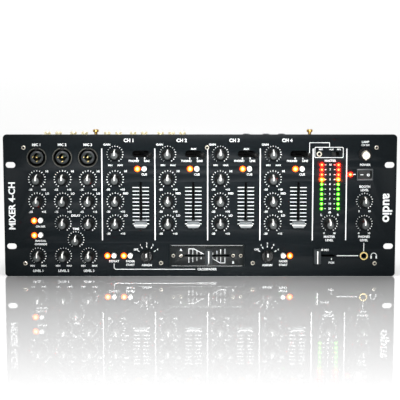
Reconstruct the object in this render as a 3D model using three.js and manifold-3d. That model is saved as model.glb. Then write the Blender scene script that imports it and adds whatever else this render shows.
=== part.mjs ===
// Four-channel DJ mixer in a 19-inch rack panel, four rack units high, standing on the
// panel's bottom edge. Millimetres. X runs along the panel, Y from the front to the
// back and Z up. The origin is under the middle of the mixer, at the panel's bottom
// edge. Pieces are drawn by x, z and depth, the distance behind the panel's front face.
import * as THREE from "three";
import { mergeVertices } from "three/addons/utils/BufferGeometryUtils.js";
import Module from "manifold-3d";

const wasm = await Module();
wasm.setup();

// Clearances
const FIT = 0.3; // between fixed pieces that lie against each other
const SHAFT_FIT = 0.5; // round a knob's shaft or a button's plunger

// Rack panel
const PANEL_WIDTH = 482.6; // 19 inches
const PANEL_HEIGHT = 177; // four rack units
const PANEL_THICKNESS = 3;
const PANEL_CORNER = 4.5;
const RACK_PITCH_X = 465.1;
const RACK_PITCH_Z = 101.6;
const RACK_SLOT_LENGTH = 12;
const RACK_SLOT_HEIGHT = 7.4;
const RACK_CENTRE_Z = PANEL_HEIGHT / 2;

// Chassis tray behind the panel
const CHASSIS_WIDTH = 438;
const CHASSIS_DEPTH = 74;
const CHASSIS_BOTTOM = 2;
const CHASSIS_TOP = 165;
const SHEET = 1.5;
const FLANGE_SIDE = 6;
const FLANGE_TOP = 7;
const FLANGE_BOTTOM = 12;
const CHASSIS_FRONT = PANEL_THICKNESS + FIT;
const CHASSIS_BACK = CHASSIS_FRONT + CHASSIS_DEPTH;

// Controls board, parallel to the panel
const BOARD_DEPTH = 16;
const BOARD_THICKNESS = 1.6;
const BOARD_MARGIN = 4;
const BODY_FRONT = PANEL_THICKNESS + 2;

// Columns and rows of the panel layout
const MIC_CENTRE_X = -168.8;
const MIC_PITCH = 31.4;
const MIC_COUNT = 3;
const CHANNEL_FIRST_X = -104.2;
const CHANNEL_PITCH = 64.6;
const CHANNEL_COUNT = 4;
const SOCKET_Z = 148.6;
const GAIN_Z = 153;
const EQ_TOP_Z = 122;
const EQ_PITCH = 27.6;
const BOTTOM_ROW_Z = 26;
const METER_X = 159.6;
const RIGHT_X = 202.4;

// Knobs
const KNOB_REACH = 16;
const KNOB_BASE_R = 6.9;
const KNOB_FOOT_R = 5.7;
const KNOB_TOP_R = 4.9;
const KNOB_SKIRT = 2;
const KNOB_LIFT = 0.6;
const SHAFT_R = 3;
const SHAFT_END = 12;
const KNOB_SIDES = 12;
const HOLE_SIDES = 8;
const POINTER_WIDTH = 1.2;
const POINTER_RISE = 0.4;
const ASSIGN_BASE_R = 7.8;
const ASSIGN_BAR_WIDTH = 5.6;
const ASSIGN_SKIRT = 5;
const ASSIGN_REACH = 14.5;
const ASSIGN_OFFSET_X = 74.55;
const ASSIGN_TAPER = 1;
const ASSIGN_SIDES = 16;

// Push buttons
const BUTTON_R = 3.05;
const BUTTON_HOLE_GAP = 0.65;
const BUTTON_SIDES = 10;
const BUTTON_REACH = 2.6;
const BUTTON_EDGE = 0.5;
const BUTTON_TRAVEL = 1.5;
const BUTTON_BACK = 8;
const SWITCH_FRONT = BUTTON_BACK + BUTTON_TRAVEL + FIT;
const PLUNGER = 2.4;
const PLUNGER_ENTRY = 1.6;
const PLUNGER_BACK = SWITCH_FRONT + PLUNGER_ENTRY;

// Faders
const FADER_TRAVEL = 45;
const FADER_SLOT_END = 5; // spare slot beyond the stem at each end of the travel
const FADER_SLOT_CENTRE_Z = 88.6;
const FADER_OFFSET_X = 31.4;
const SLOT_WIDTH = 2.8;
const STEM_THICKNESS = 1.6;
const STEM_LENGTH = 5;
const STEM_BACK = 12;
const CAP_GAP = 0.9;
const FADER_CAP_WIDTH = 16;
const FADER_CAP_HEIGHT = 9;
const FADER_CAP_REACH = 11;
const FADER_CAP_FOOT = 0.78; // width of the lower edge over the width at the ridge
const FADER_CAP_HEAD = 0.92; // width of the upper edge over the width at the ridge
const FADER_CAP_SLOPE = 2.2;
const CROSS_CAP_WIDTH = 8.6;
const CROSS_CAP_HEIGHT = 17.7;
const CUE_MIX_TRAVEL = 18;
const CUE_MIX_CENTRE_X = 153.6;
const CUE_MIX_SLOT_END = 1.8;

// Crossfader plate
const CROSS_X = 8.7;
const CROSS_REST_OFFSET = 2;
const CROSS_TRAVEL = 45;
const CROSS_SLOT_END = 2.9;
const CROSS_CASE_END = 6;
const PLATE_EAR = 9; // plate beyond the window, where its outer screws go
const PLATE_HEIGHT = 27;
const PLATE_THICKNESS = 1.5;
const CROSS_WINDOW_HEIGHT = 16;
const CROSS_BODY_MARGIN = 3;
const CROSS_SLOT_LENGTH = CROSS_TRAVEL + STEM_LENGTH + 2 * CROSS_SLOT_END;
const CROSS_CASE_LENGTH = CROSS_SLOT_LENGTH + 2 * CROSS_CASE_END;
const CROSS_WINDOW_WIDTH = CROSS_CASE_LENGTH + 2 * CROSS_BODY_MARGIN;
const PLATE_WIDTH = CROSS_WINDOW_WIDTH + 2 * PLATE_EAR;

// Input selector levers
const LEVER_OFFSET_X = 31.7;
const LEVER_SLOT_LENGTH = 20.4;
const LEVER_SLOT_HEIGHT = 7.8;
const LEVER_PIVOT = 13;
const LEVER_LEAN = 28;
const LEVER_LENGTH = 27;
const LEVER_FOOT_R = 2.2;
const LEVER_NECK_R = 1.4;
const LEVER_TIP_R = 2.2;
const LEVER_TIP_LENGTH = 11;
const LEVER_TIP_END = 2;
const LEVER_TIP_ROUND = 0.7;
const LEVER_HEEL = 0.9 * LEVER_FOOT_R;

// Auxiliary slide switch and mini jack
const AUX_WINDOW_X = 165.9;
const AUX_WINDOW_WIDTH = 9.8;
const AUX_WINDOW_HEIGHT = 5.3;
const AUX_KNOB_WIDTH = 4.6;
const AUX_TRAVEL = 4;
const AUX_KNOB_RISE = 1.4;
const AUX_KNOB_GROOVE = 0.8;
const AUX_KNOB_BACK = 8;
const MINI_JACK_X = 146.1;
const MINI_JACK_R = 3;
const MINI_BORE_R = 1.8;

// Power rocker
const ROCKER_Z = 127.4;
const ROCKER_BEZEL_WIDTH = 19.5;
const ROCKER_BEZEL_HEIGHT = 14.4;
const ROCKER_OPENING_WIDTH = 17;
const ROCKER_OPENING_HEIGHT = 10.6;
const ROCKER_LENGTH = 15;
const ROCKER_TILT = 9;
const ROCKER_PIVOT = 3.4;
const ROCKER_FACE = 4.4;
const ROCKER_DEPTH = 3.4;
const BEZEL_RISE = 1.2;
const BEZEL_LIP = 1;

const ROCKER_EDGE = 3;

// Cases on the control board
const POT_CASE_WIDTH = 9.6;
const POT_CASE_HEIGHT = 11;
const SWITCH_CASE = 7;
const FADER_CASE_WIDTH = 8;
const FADER_WELL_SPARE = 2;
const LEVER_CASE_WALL = 1.5;
const AUX_CASE_WALL = 2;
const CASE_FLOOR = 2;
const ROCKER_CASE_FLOOR = 4;
const MINI_JACK_CASE = 8;
const MINI_JACK_RISE = 1.2;
const HEADPHONE_CASE = 14;
const LAMP_CASE_WIDTH = 12;
const LAMP_CASE_HEIGHT = 8;
const LINE_JACK_CASE_WIDTH = 12;
const LINE_JACK_CASE_LENGTH = 14;

// Sockets
const COMBO_R = 11.8;
const COMBO_HOLE_R = COMBO_R + 0.4;
const COMBO_GROOVE_OUTER = COMBO_R - 1;
const COMBO_GROOVE_INNER = 8.7;
const COMBO_GROOVE_DEPTH = 14;
const COMBO_DEPTH = 26;
const COMBO_SIDES = 20;
const JACK_BORE_R = 3.4;
const JACK_BORE_DEPTH = 24;
const MIC_BOARD_HEIGHT = 24;
const HEADPHONE_SLEEVE_R = 4.5;
const HEADPHONE_RISE = 2;
const HEADPHONE_BACK = 30;
const LAMP_Z = 152.5;
const LAMP_R = 4.9;
const LAMP_BUSH_R = 8.2;
const LAMP_BUSH_RISE = 1.6;
const LAMP_REACH = 10;
const LAMP_BORE_R = 4.1;
const LAMP_PIN_R = 1.2;

// Connector board under the chassis top
const CONNECTOR_DEPTH = 42;
const CONNECTOR_BOARD_DROP = 9;
const CONNECTOR_BOARD_WIDTH = 26;
const CONNECTOR_MARGIN = 8;
const PHONO_X = [
  -191.5, -177.6, -158.8, -144.8, -116.4, -102.3, -84, -70.1, -49.5, -35.7, -21.9,
];
const PHONO_R = 4.1;
const PHONO_TOP = 175.2;
const GROUND_X = [-130.7, 137.6];
const GROUND_STEM_R = 2;
const GROUND_NUT_R = 3.7;
const GROUND_NUT_BOTTOM = 175;
const GROUND_TOP = 178.2;
const LINE_JACK_X = [58.2, 82.8, 102.3];
const LINE_JACK_R = 4.7;
const LINE_JACK_TOP = 172.4;
const LINE_JACK_BOTTOM = 145;
const INLET_X = 196;
const INLET_WIDTH = 27;
const INLET_LENGTH = 20;
const INLET_RISE = 2;
const INLET_WALL = 2.2;
const INLET_BOTTOM = 146;
const CONNECTOR_SIDES = 12;

const ROUND_SIDES = 12;
const SLOT_END_STEPS = 6;
const HALF = 0.5;
const DEGREE = Math.PI / 180;
const REACH = Math.max(KNOB_REACH, LEVER_LENGTH - LEVER_PIVOT);
const FRONT_Y = (REACH - CHASSIS_BACK) * HALF;
const mixer = new THREE.Group();

const steelBlack = { color: 0x23282b, roughness: 0.62, metalness: 0.2 };
const knobBlack = { color: 0x2b2c2c, roughness: 0.5, metalness: 0 };
const capSilver = { color: 0xb9bcbd, roughness: 0.4, metalness: 0.3 };
const buttonWhite = { color: 0xf1f1ee, roughness: 0.45, metalness: 0 };
const boardGreen = { color: 0x2c5a3a, roughness: 0.6, metalness: 0 };

// The solid of a three.js geometry, its seams closed and its faces pointing out.
function solid(geometry) {
  const bare = new THREE.BufferGeometry();
  bare.setAttribute("position", geometry.getAttribute("position"));
  bare.setIndex(geometry.index);
  const merged = mergeVertices(bare, 1e-4);
  const points = merged.getAttribute("position").array;
  const index = merged.index.array;
  const corners = [];
  let volume = 0;
  for (let i = 0; i < index.length; i += 3) {
    const [a, b, c] = [index[i], index[i + 1], index[i + 2]];
    if (a === b || b === c || a === c) continue;
    corners.push(a, b, c);
    const p = new THREE.Vector3().fromArray(points, 3 * a);
    const q = new THREE.Vector3().fromArray(points, 3 * b);
    const r = new THREE.Vector3().fromArray(points, 3 * c);
    volume += p.dot(q.cross(r));
  }
  const triVerts = new Uint32Array(volume < 0 ? corners.reverse() : corners);
  const vertProperties = new Float32Array(points);
  return new wasm.Manifold(new wasm.Mesh({ numProp: 3, vertProperties, triVerts }));
}

// Names a solid, moves it from depth to Y and adds it to the mixer.
function addPiece(name, shape, look) {
  const mesh = shape.getMesh();
  const geometry = new THREE.BufferGeometry();
  const points = new Float32Array(mesh.vertProperties);
  geometry.setAttribute("position", new THREE.BufferAttribute(points, 3));
  geometry.setIndex(new THREE.BufferAttribute(new Uint32Array(mesh.triVerts), 1));
  geometry.translate(0, FRONT_Y, 0);
  geometry.computeVertexNormals();
  const piece = new THREE.Mesh(geometry, new THREE.MeshStandardMaterial(look));
  piece.name = name;
  mixer.add(piece);
}

// A rectangular block from low to high x, depth and z.
function block(x0, x1, d0, d1, z0, z1) {
  const box = new THREE.BoxGeometry(x1 - x0, d1 - d0, z1 - z0);
  box.translate((x0 + x1) * HALF, (d0 + d1) * HALF, (z0 + z1) * HALF);
  return solid(box);
}

// A block given by its middle and size across the panel.
function blockAt(x, z, width, height, d0, d1) {
  const w = width * HALF;
  const h = height * HALF;
  return block(x - w, x + w, d0, d1, z - h, z + h);
}

// A turned piece about a line along the depth: the profile holds [radius, depth].
function turned(x, z, profile, sides) {
  const points = profile.map(([r, d]) => new THREE.Vector2(r, d));
  const lathe = new THREE.LatheGeometry(points, sides);
  lathe.translate(x, 0, z);
  return solid(lathe);
}

function rod(x, z, radius, d0, d1, sides) {
  return turned(x, z, [[0, d0], [radius, d0], [radius, d1], [0, d1]], sides);
}

// A turned piece about an upright line: the profile holds [radius, z].
function upright(x, depth, profile, sides) {
  const points = profile.map(([r, z]) => new THREE.Vector2(r, z));
  const lathe = new THREE.LatheGeometry(points, sides);
  lathe.rotateX(Math.PI * HALF);
  lathe.translate(x, depth, 0);
  return solid(lathe);
}

function post(x, depth, radius, z0, z1, sides) {
  return upright(x, depth, [[0, z0], [radius, z0], [radius, z1], [0, z1]], sides);
}

// The outline of a slot with round ends, as [x, z] points; a circle if length = height.
function slotOutline(x, z, length, height, sides) {
  const r = height * HALF;
  const straight = (length - height) * HALF;
  const outline = [];
  for (let i = 0; i <= sides; i += 1) {
    const turn = Math.PI * (i / sides - HALF);
    outline.push([x + straight + r * Math.cos(turn), z + r * Math.sin(turn)]);
  }
  for (let i = 0; i <= sides; i += 1) {
    const turn = Math.PI * (i / sides + HALF);
    outline.push([x - straight + r * Math.cos(turn), z + r * Math.sin(turn)]);
  }
  return outline;
}

function circleOutline(x, z, radius, sides) {
  const outline = [];
  for (let i = 0; i < sides; i += 1) {
    const turn = (2 * Math.PI * i) / sides;
    outline.push([x + radius * Math.cos(turn), z + radius * Math.sin(turn)]);
  }
  return outline;
}

function boxOutline(x, z, width, height) {
  const w = width * HALF;
  const h = height * HALF;
  return [[x - w, z - h], [x + w, z - h], [x + w, z + h], [x - w, z + h]];
}

// A plate with the given outline in x and z, from d0 to d1.
function plate(outline, d0, d1) {
  const shape = new THREE.Shape(outline.map(([x, z]) => new THREE.Vector2(x, z)));
  const sheet = new THREE.ExtrudeGeometry(shape, { depth: d1 - d0, bevelEnabled: false });
  sheet.rotateX(Math.PI * HALF);
  sheet.translate(0, d1, 0);
  return solid(sheet);
}

function joined(shapes) {
  return shapes.reduce((sum, shape) => sum.add(shape));
}

function range(count) {
  return Array.from({ length: count }, (_, i) => i);
}

const micX = range(MIC_COUNT).map((i) => MIC_CENTRE_X + (i - 1) * MIC_PITCH);
const channelX = range(CHANNEL_COUNT).map((i) => CHANNEL_FIRST_X + i * CHANNEL_PITCH);
const eqZ = range(3).map((i) => EQ_TOP_Z - i * EQ_PITCH);
const fifthRowZ = 46.5; // delay time knob, between the third row and the bottom row

// Every ordinary rotary knob: name, x and z.
function knobList() {
  const knobs = [];
  micX.forEach((x, i) => {
    knobs.push([`mic_${i + 1}_high_knob`, x, eqZ[0]]);
    knobs.push([`mic_${i + 1}_low_knob`, x, eqZ[1]]);
    if (i > 0) knobs.push([`mic_${i + 1}_delay_knob`, x, eqZ[2]]);
    knobs.push([`mic_${i + 1}_level_knob`, x, BOTTOM_ROW_Z]);
  });
  knobs.push(["mic_delay_time_knob", (micX[1] + micX[2]) * HALF, fifthRowZ]);
  channelX.forEach((x, i) => {
    knobs.push([`channel_${i + 1}_gain_knob`, x, GAIN_Z]);
    knobs.push([`channel_${i + 1}_high_knob`, x, eqZ[0]]);
    knobs.push([`channel_${i + 1}_mid_knob`, x, eqZ[1]]);
    knobs.push([`channel_${i + 1}_low_knob`, x, eqZ[2]]);
  });
  knobs.push(["master_level_knob", METER_X, eqZ[2]]);
  knobs.push(["booth_level_knob", RIGHT_X, eqZ[1]]);
  knobs.push(["headphone_level_knob", RIGHT_X, eqZ[2]]);
  return knobs;
}

// The two five-position assign knobs beside the crossfader.
const assignKnobs = [
  ["crossfader_assign_left_knob", CROSS_X - ASSIGN_OFFSET_X, BOTTOM_ROW_Z],
  ["crossfader_assign_right_knob", CROSS_X + ASSIGN_OFFSET_X, BOTTOM_ROW_Z],
];

// Every push button: name, x and z.
const CUE_OFFSET_X = 35.7;
const CUE_Z = 134.6;
const ON_AIR_X = -196.6;
const ON_AIR_Z = 70.2;
const OVERRIDE_Z = 51.9;
const DEFEAT_X = -106.3;
const START_LEFT_X = -86.2;
const START_RIGHT_X = 103;
const buttons = [
  ["mic_on_air_button", ON_AIR_X, ON_AIR_Z],
  ["mic_override_button", ON_AIR_X, OVERRIDE_Z],
  ...channelX.map((x, i) => [`channel_${i + 1}_cue_button`, x + CUE_OFFSET_X, CUE_Z]),
  ["crossfader_defeat_button", DEFEAT_X, BOTTOM_ROW_Z],
  ["fader_start_left_button", START_LEFT_X, BOTTOM_ROW_Z],
  ["fader_start_right_button", START_RIGHT_X, BOTTOM_ROW_Z],
];

const knobs = knobList();
const faderX = channelX.map((x) => x + FADER_OFFSET_X);
const faderRestZ = FADER_SLOT_CENTRE_Z - FADER_TRAVEL * HALF;
const leverX = channelX.map((x) => x + LEVER_OFFSET_X);
const cueMixRestX = CUE_MIX_CENTRE_X - CUE_MIX_TRAVEL * HALF;
const faderSlotLength = FADER_TRAVEL + STEM_LENGTH + 2 * FADER_SLOT_END;
const cueMixSlotLength = CUE_MIX_TRAVEL + STEM_LENGTH + 2 * CUE_MIX_SLOT_END;

// The steel panel with its rack slots and an opening for every control.
function frontPanel() {
  const corner = PANEL_CORNER;
  const w = PANEL_WIDTH * HALF;
  const arcs = [[w, 0], [w, PANEL_HEIGHT], [-w, PANEL_HEIGHT], [-w, 0]];
  const outline = [];
  arcs.forEach(([x, z], i) => {
    const cx = x - Math.sign(x) * corner;
    const cz = z === 0 ? corner : z - corner;
    for (let step = 0; step <= 3; step += 1) {
      const turn = Math.PI * HALF * (i - 1 + step / 3);
      outline.push([cx + corner * Math.cos(turn), cz + corner * Math.sin(turn)]);
    }
  });
  const holes = [];
  for (const sx of [-HALF, HALF]) {
    for (const sz of [-HALF, HALF]) {
      const z = RACK_CENTRE_Z + sz * RACK_PITCH_Z;
      const size = [RACK_SLOT_LENGTH, RACK_SLOT_HEIGHT, SLOT_END_STEPS];
      holes.push(slotOutline(sx * RACK_PITCH_X, z, ...size));
    }
  }
  for (const x of micX) holes.push(circleOutline(x, SOCKET_Z, COMBO_HOLE_R, COMBO_SIDES));
  for (const [, x, z] of [...knobs, ...assignKnobs]) {
    holes.push(circleOutline(x, z, SHAFT_R + 2 * SHAFT_FIT, HOLE_SIDES));
  }
  for (const [, x, z] of buttons) {
    holes.push(circleOutline(x, z, BUTTON_R + BUTTON_HOLE_GAP, BUTTON_SIDES));
  }
  for (const x of faderX) {
    holes.push(boxOutline(x, FADER_SLOT_CENTRE_Z, SLOT_WIDTH, faderSlotLength));
  }
  holes.push(boxOutline(CUE_MIX_CENTRE_X, BOTTOM_ROW_Z, cueMixSlotLength, SLOT_WIDTH));
  for (const x of leverX) {
    holes.push(slotOutline(x, GAIN_Z, LEVER_SLOT_LENGTH, LEVER_SLOT_HEIGHT, SLOT_END_STEPS));
  }
  holes.push(boxOutline(AUX_WINDOW_X, GAIN_Z, AUX_WINDOW_WIDTH, AUX_WINDOW_HEIGHT));
  holes.push(circleOutline(MINI_JACK_X, GAIN_Z, MINI_JACK_R + FIT, ROUND_SIDES));
  holes.push(circleOutline(RIGHT_X, LAMP_Z, LAMP_R + FIT, ROUND_SIDES));
  const gap = 2 * FIT;
  const rockerHole = [ROCKER_BEZEL_WIDTH - BEZEL_LIP + gap, ROCKER_BEZEL_HEIGHT - BEZEL_LIP];
  holes.push(boxOutline(RIGHT_X, ROCKER_Z, ...rockerHole));
  holes.push(circleOutline(RIGHT_X, BOTTOM_ROW_Z, HEADPHONE_SLEEVE_R + FIT, ROUND_SIDES));
  holes.push(boxOutline(CROSS_X, BOTTOM_ROW_Z, CROSS_WINDOW_WIDTH, CROSS_WINDOW_HEIGHT));
  const cutters = holes.map((hole) => plate(hole, -1, PANEL_THICKNESS + 1));
  const recess = [PLATE_WIDTH + gap, PLATE_HEIGHT + gap, -1, PLATE_THICKNESS + FIT];
  cutters.push(blockAt(CROSS_X, BOTTOM_ROW_Z, ...recess));
  return plate(outline, 0, PANEL_THICKNESS).subtract(joined(cutters));
}

// The folded tray: four walls, a back, and a flange turned in behind the panel.
function chassis() {
  const w = CHASSIS_WIDTH * HALF;
  const inner = w - SHEET;
  const bottom = CHASSIS_BOTTOM + SHEET;
  const top = CHASSIS_TOP - SHEET;
  const back = CHASSIS_BACK - SHEET;
  const front = CHASSIS_FRONT + SHEET;
  let tray = block(-w, w, CHASSIS_FRONT, CHASSIS_BACK, CHASSIS_BOTTOM, CHASSIS_TOP);
  tray = tray.subtract(block(-inner, inner, front, back, bottom, top));
  const side = w - FLANGE_SIDE;
  const low = CHASSIS_BOTTOM + FLANGE_BOTTOM;
  const high = CHASSIS_TOP - FLANGE_TOP;
  const flange = [CHASSIS_FRONT - 1, front + 1];
  tray = tray.subtract(block(-side, side, ...flange, low, high));
  const relief = COMBO_R + 2 * FIT;
  const [left, right] = [micX[0] - relief, micX[MIC_COUNT - 1] + relief];
  tray = tray.subtract(block(left, right, ...flange, SOCKET_Z - relief, SOCKET_Z + relief));
  const cutters = [];
  const z0 = top - 1;
  const z1 = CHASSIS_TOP + 1;
  for (const x of PHONO_X) {
    cutters.push(post(x, CONNECTOR_DEPTH, PHONO_R + FIT, z0, z1, CONNECTOR_SIDES));
  }
  for (const x of GROUND_X) {
    cutters.push(post(x, CONNECTOR_DEPTH, GROUND_STEM_R + FIT, z0, z1, CONNECTOR_SIDES));
  }
  for (const x of LINE_JACK_X) {
    cutters.push(post(x, CONNECTOR_DEPTH, LINE_JACK_R + FIT, z0, z1, CONNECTOR_SIDES));
  }
  const iw = INLET_WIDTH * HALF + FIT;
  const il = INLET_LENGTH * HALF + FIT;
  const [d0, d1] = [CONNECTOR_DEPTH - il, CONNECTOR_DEPTH + il];
  cutters.push(block(INLET_X - iw, INLET_X + iw, d0, d1, z0, z1));
  return cutters.reduce((sum, cutter) => sum.subtract(cutter), tray);
}

// The crossfader's cover plate with the fader's case fixed behind it.
function crossfaderPlate() {
  const z = BOTTOM_ROW_Z;
  const cover = blockAt(CROSS_X, z, PLATE_WIDTH, PLATE_HEIGHT, 0, PLATE_THICKNESS);
  const caseHeight = CROSS_WINDOW_HEIGHT - 2 * CROSS_BODY_MARGIN;
  const back = BOARD_DEPTH - FIT;
  const fader = blockAt(CROSS_X, z, CROSS_CASE_LENGTH, caseHeight, PLATE_THICKNESS - HALF, back);
  const slot = blockAt(CROSS_X, z, CROSS_SLOT_LENGTH, SLOT_WIDTH, -1, STEM_BACK + 1);
  return cover.add(fader).subtract(slot);
}

// A potentiometer's case with a blind hole for the knob's shaft.
function potCase(x, z) {
  const size = [POT_CASE_WIDTH, POT_CASE_HEIGHT];
  const body = blockAt(x, z, ...size, BODY_FRONT, BOARD_DEPTH);
  const hole = rod(x, z, SHAFT_R + SHAFT_FIT, BODY_FRONT - 1, SHAFT_END + 1, HOLE_SIDES);
  return body.subtract(hole);
}

function switchCase(x, z) {
  const body = blockAt(x, z, SWITCH_CASE, SWITCH_CASE, SWITCH_FRONT, BOARD_DEPTH);
  const well = PLUNGER + 2 * SHAFT_FIT;
  const depth = PLUNGER_BACK + BUTTON_TRAVEL + FIT;
  return body.subtract(blockAt(x, z, well, well, SWITCH_FRONT - 1, depth));
}

function faderCase(x, z, width, height, slotWidth, slotHeight) {
  const body = blockAt(x, z, width, height, BODY_FRONT, BOARD_DEPTH);
  return body.subtract(blockAt(x, z, slotWidth, slotHeight, BODY_FRONT - 1, STEM_BACK + 1));
}

function leverCase(x) {
  const wall = LEVER_CASE_WALL;
  const width = LEVER_SLOT_LENGTH + 2;
  const height = LEVER_SLOT_HEIGHT;
  const well = [width - 2 * wall, height - 2 * wall];
  const body = blockAt(x, GAIN_Z, width, height, BODY_FRONT, BOARD_DEPTH);
  return body.subtract(blockAt(x, GAIN_Z, ...well, BODY_FRONT - 1, BOARD_DEPTH - FIT));
}

function auxSwitchCase() {
  const z = GAIN_Z;
  const wall = AUX_CASE_WALL;
  const [w, h] = [AUX_WINDOW_WIDTH, AUX_WINDOW_HEIGHT];
  const body = blockAt(AUX_WINDOW_X, z, w + wall, h + wall, BODY_FRONT, BOARD_DEPTH);
  return body.subtract(blockAt(AUX_WINDOW_X, z, w, h, BODY_FRONT - 1, BOARD_DEPTH - CASE_FLOOR));
}

function rockerCase() {
  const z = ROCKER_Z;
  const lip = BEZEL_LIP;
  const bezel = [ROCKER_BEZEL_WIDTH, ROCKER_BEZEL_HEIGHT, -BEZEL_RISE, -FIT];
  const neck = [ROCKER_BEZEL_WIDTH - lip, ROCKER_BEZEL_HEIGHT - lip - 2 * FIT];
  const frame = blockAt(RIGHT_X, z, ...bezel);
  const body = blockAt(RIGHT_X, z, ...neck, -FIT - 0.2, BOARD_DEPTH);
  const opening = [ROCKER_OPENING_WIDTH, ROCKER_OPENING_HEIGHT, -BEZEL_RISE - 1];
  return frame.add(body).subtract(blockAt(RIGHT_X, z, ...opening, BOARD_DEPTH - ROCKER_CASE_FLOOR));
}

function miniJack() {
  const [x, z] = [MINI_JACK_X, GAIN_Z];
  const body = blockAt(x, z, MINI_JACK_CASE, MINI_JACK_CASE, BODY_FRONT, BOARD_DEPTH);
  const sleeve = rod(x, z, MINI_JACK_R, -MINI_JACK_RISE, BODY_FRONT + 1, ROUND_SIDES);
  return body.add(sleeve).subtract(rod(x, z, MINI_BORE_R, -2, BOARD_DEPTH - 1, ROUND_SIDES));
}

function headphoneJack() {
  const [x, z] = [RIGHT_X, BOTTOM_ROW_Z];
  const size = [HEADPHONE_CASE, HEADPHONE_CASE];
  const body = blockAt(x, z, ...size, BODY_FRONT, HEADPHONE_BACK);
  return body.add(rod(x, z, HEADPHONE_SLEEVE_R, -HEADPHONE_RISE, BODY_FRONT + 1, ROUND_SIDES));
}

function headphoneBore() {
  const [d0, d1] = [-HEADPHONE_RISE - 1, HEADPHONE_BACK - CASE_FLOOR];
  return rod(RIGHT_X, BOTTOM_ROW_Z, JACK_BORE_R, d0, d1, ROUND_SIDES);
}

// The bayonet lamp socket: an insulating bush, the shell and its centre contact.
function lampSocket() {
  const [x, z] = [RIGHT_X, LAMP_Z];
  const bush = rod(x, z, LAMP_BUSH_R, -LAMP_BUSH_RISE, -FIT, 16);
  const shell = rod(x, z, LAMP_R, -LAMP_REACH, BODY_FRONT + 1, ROUND_SIDES);
  const bore = rod(x, z, LAMP_BORE_R, -LAMP_REACH - 1, -1, ROUND_SIDES);
  const pin = rod(x, z, LAMP_PIN_R, -LAMP_REACH + 2, 0, 8);
  const body = blockAt(x, z, LAMP_CASE_WIDTH, LAMP_CASE_HEIGHT, BODY_FRONT, BOARD_DEPTH);
  return joined([bush, shell, body]).subtract(bore).add(pin);
}

// The circuit board that carries every potentiometer, fader, switch and jack case.
function controlBoard() {
  const w = CHASSIS_WIDTH * HALF - SHEET - BOARD_MARGIN;
  const low = CHASSIS_BOTTOM + SHEET + BOARD_MARGIN;
  const high = CHASSIS_TOP - SHEET - BOARD_MARGIN;
  const back = BOARD_DEPTH + BOARD_THICKNESS;
  const board = block(-w, w, BOARD_DEPTH, back, low, high);
  const notchRight = micX[2] + COMBO_HOLE_R + 1;
  const notchLow = SOCKET_Z - COMBO_HOLE_R - 1;
  const notch = block(-w - 1, notchRight, BOARD_DEPTH - 1, back + 1, notchLow, high + 1);
  const parts = [board.subtract(notch)];
  for (const [, x, z] of [...knobs, ...assignKnobs]) parts.push(potCase(x, z));
  for (const [, x, z] of buttons) parts.push(switchCase(x, z));
  const caseLength = faderSlotLength - 1;
  for (const x of faderX) {
    const wellLength = FADER_TRAVEL + STEM_LENGTH + FADER_WELL_SPARE;
    const z = FADER_SLOT_CENTRE_Z;
    parts.push(faderCase(x, z, FADER_CASE_WIDTH, caseLength, SLOT_WIDTH, wellLength));
  }
  const cueWell = CUE_MIX_TRAVEL + STEM_LENGTH + FADER_WELL_SPARE;
  const cueCase = [cueWell + 2 * CASE_FLOOR, FADER_CASE_WIDTH];
  parts.push(faderCase(CUE_MIX_CENTRE_X, BOTTOM_ROW_Z, ...cueCase, cueWell, SLOT_WIDTH));
  for (const x of leverX) parts.push(leverCase(x));
  parts.push(auxSwitchCase(), rockerCase(), miniJack(), headphoneJack(), lampSocket());
  return joined(parts).subtract(headphoneBore());
}

// The strip with the three combined microphone and jack sockets.
function micSocketBoard() {
  const width = 2 * (MIC_PITCH + COMBO_R) + 2;
  const back = COMBO_DEPTH + BOARD_THICKNESS;
  const parts = [blockAt(MIC_CENTRE_X, SOCKET_Z, width, MIC_BOARD_HEIGHT, COMBO_DEPTH, back)];
  for (const x of micX) {
    const groove = [
      [COMBO_GROOVE_INNER, -1],
      [COMBO_GROOVE_OUTER, -1],
      [COMBO_GROOVE_OUTER, COMBO_GROOVE_DEPTH],
      [COMBO_GROOVE_INNER, COMBO_GROOVE_DEPTH],
      [COMBO_GROOVE_INNER, -1],
    ];
    const body = rod(x, SOCKET_Z, COMBO_R, FIT, COMBO_DEPTH + 1, COMBO_SIDES);
    const bore = rod(x, SOCKET_Z, JACK_BORE_R, -1, JACK_BORE_DEPTH, ROUND_SIDES);
    const ring = turned(x, SOCKET_Z, groove, COMBO_SIDES);
    parts.push(body.subtract(ring).subtract(bore));
  }
  return joined(parts);
}

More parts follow.
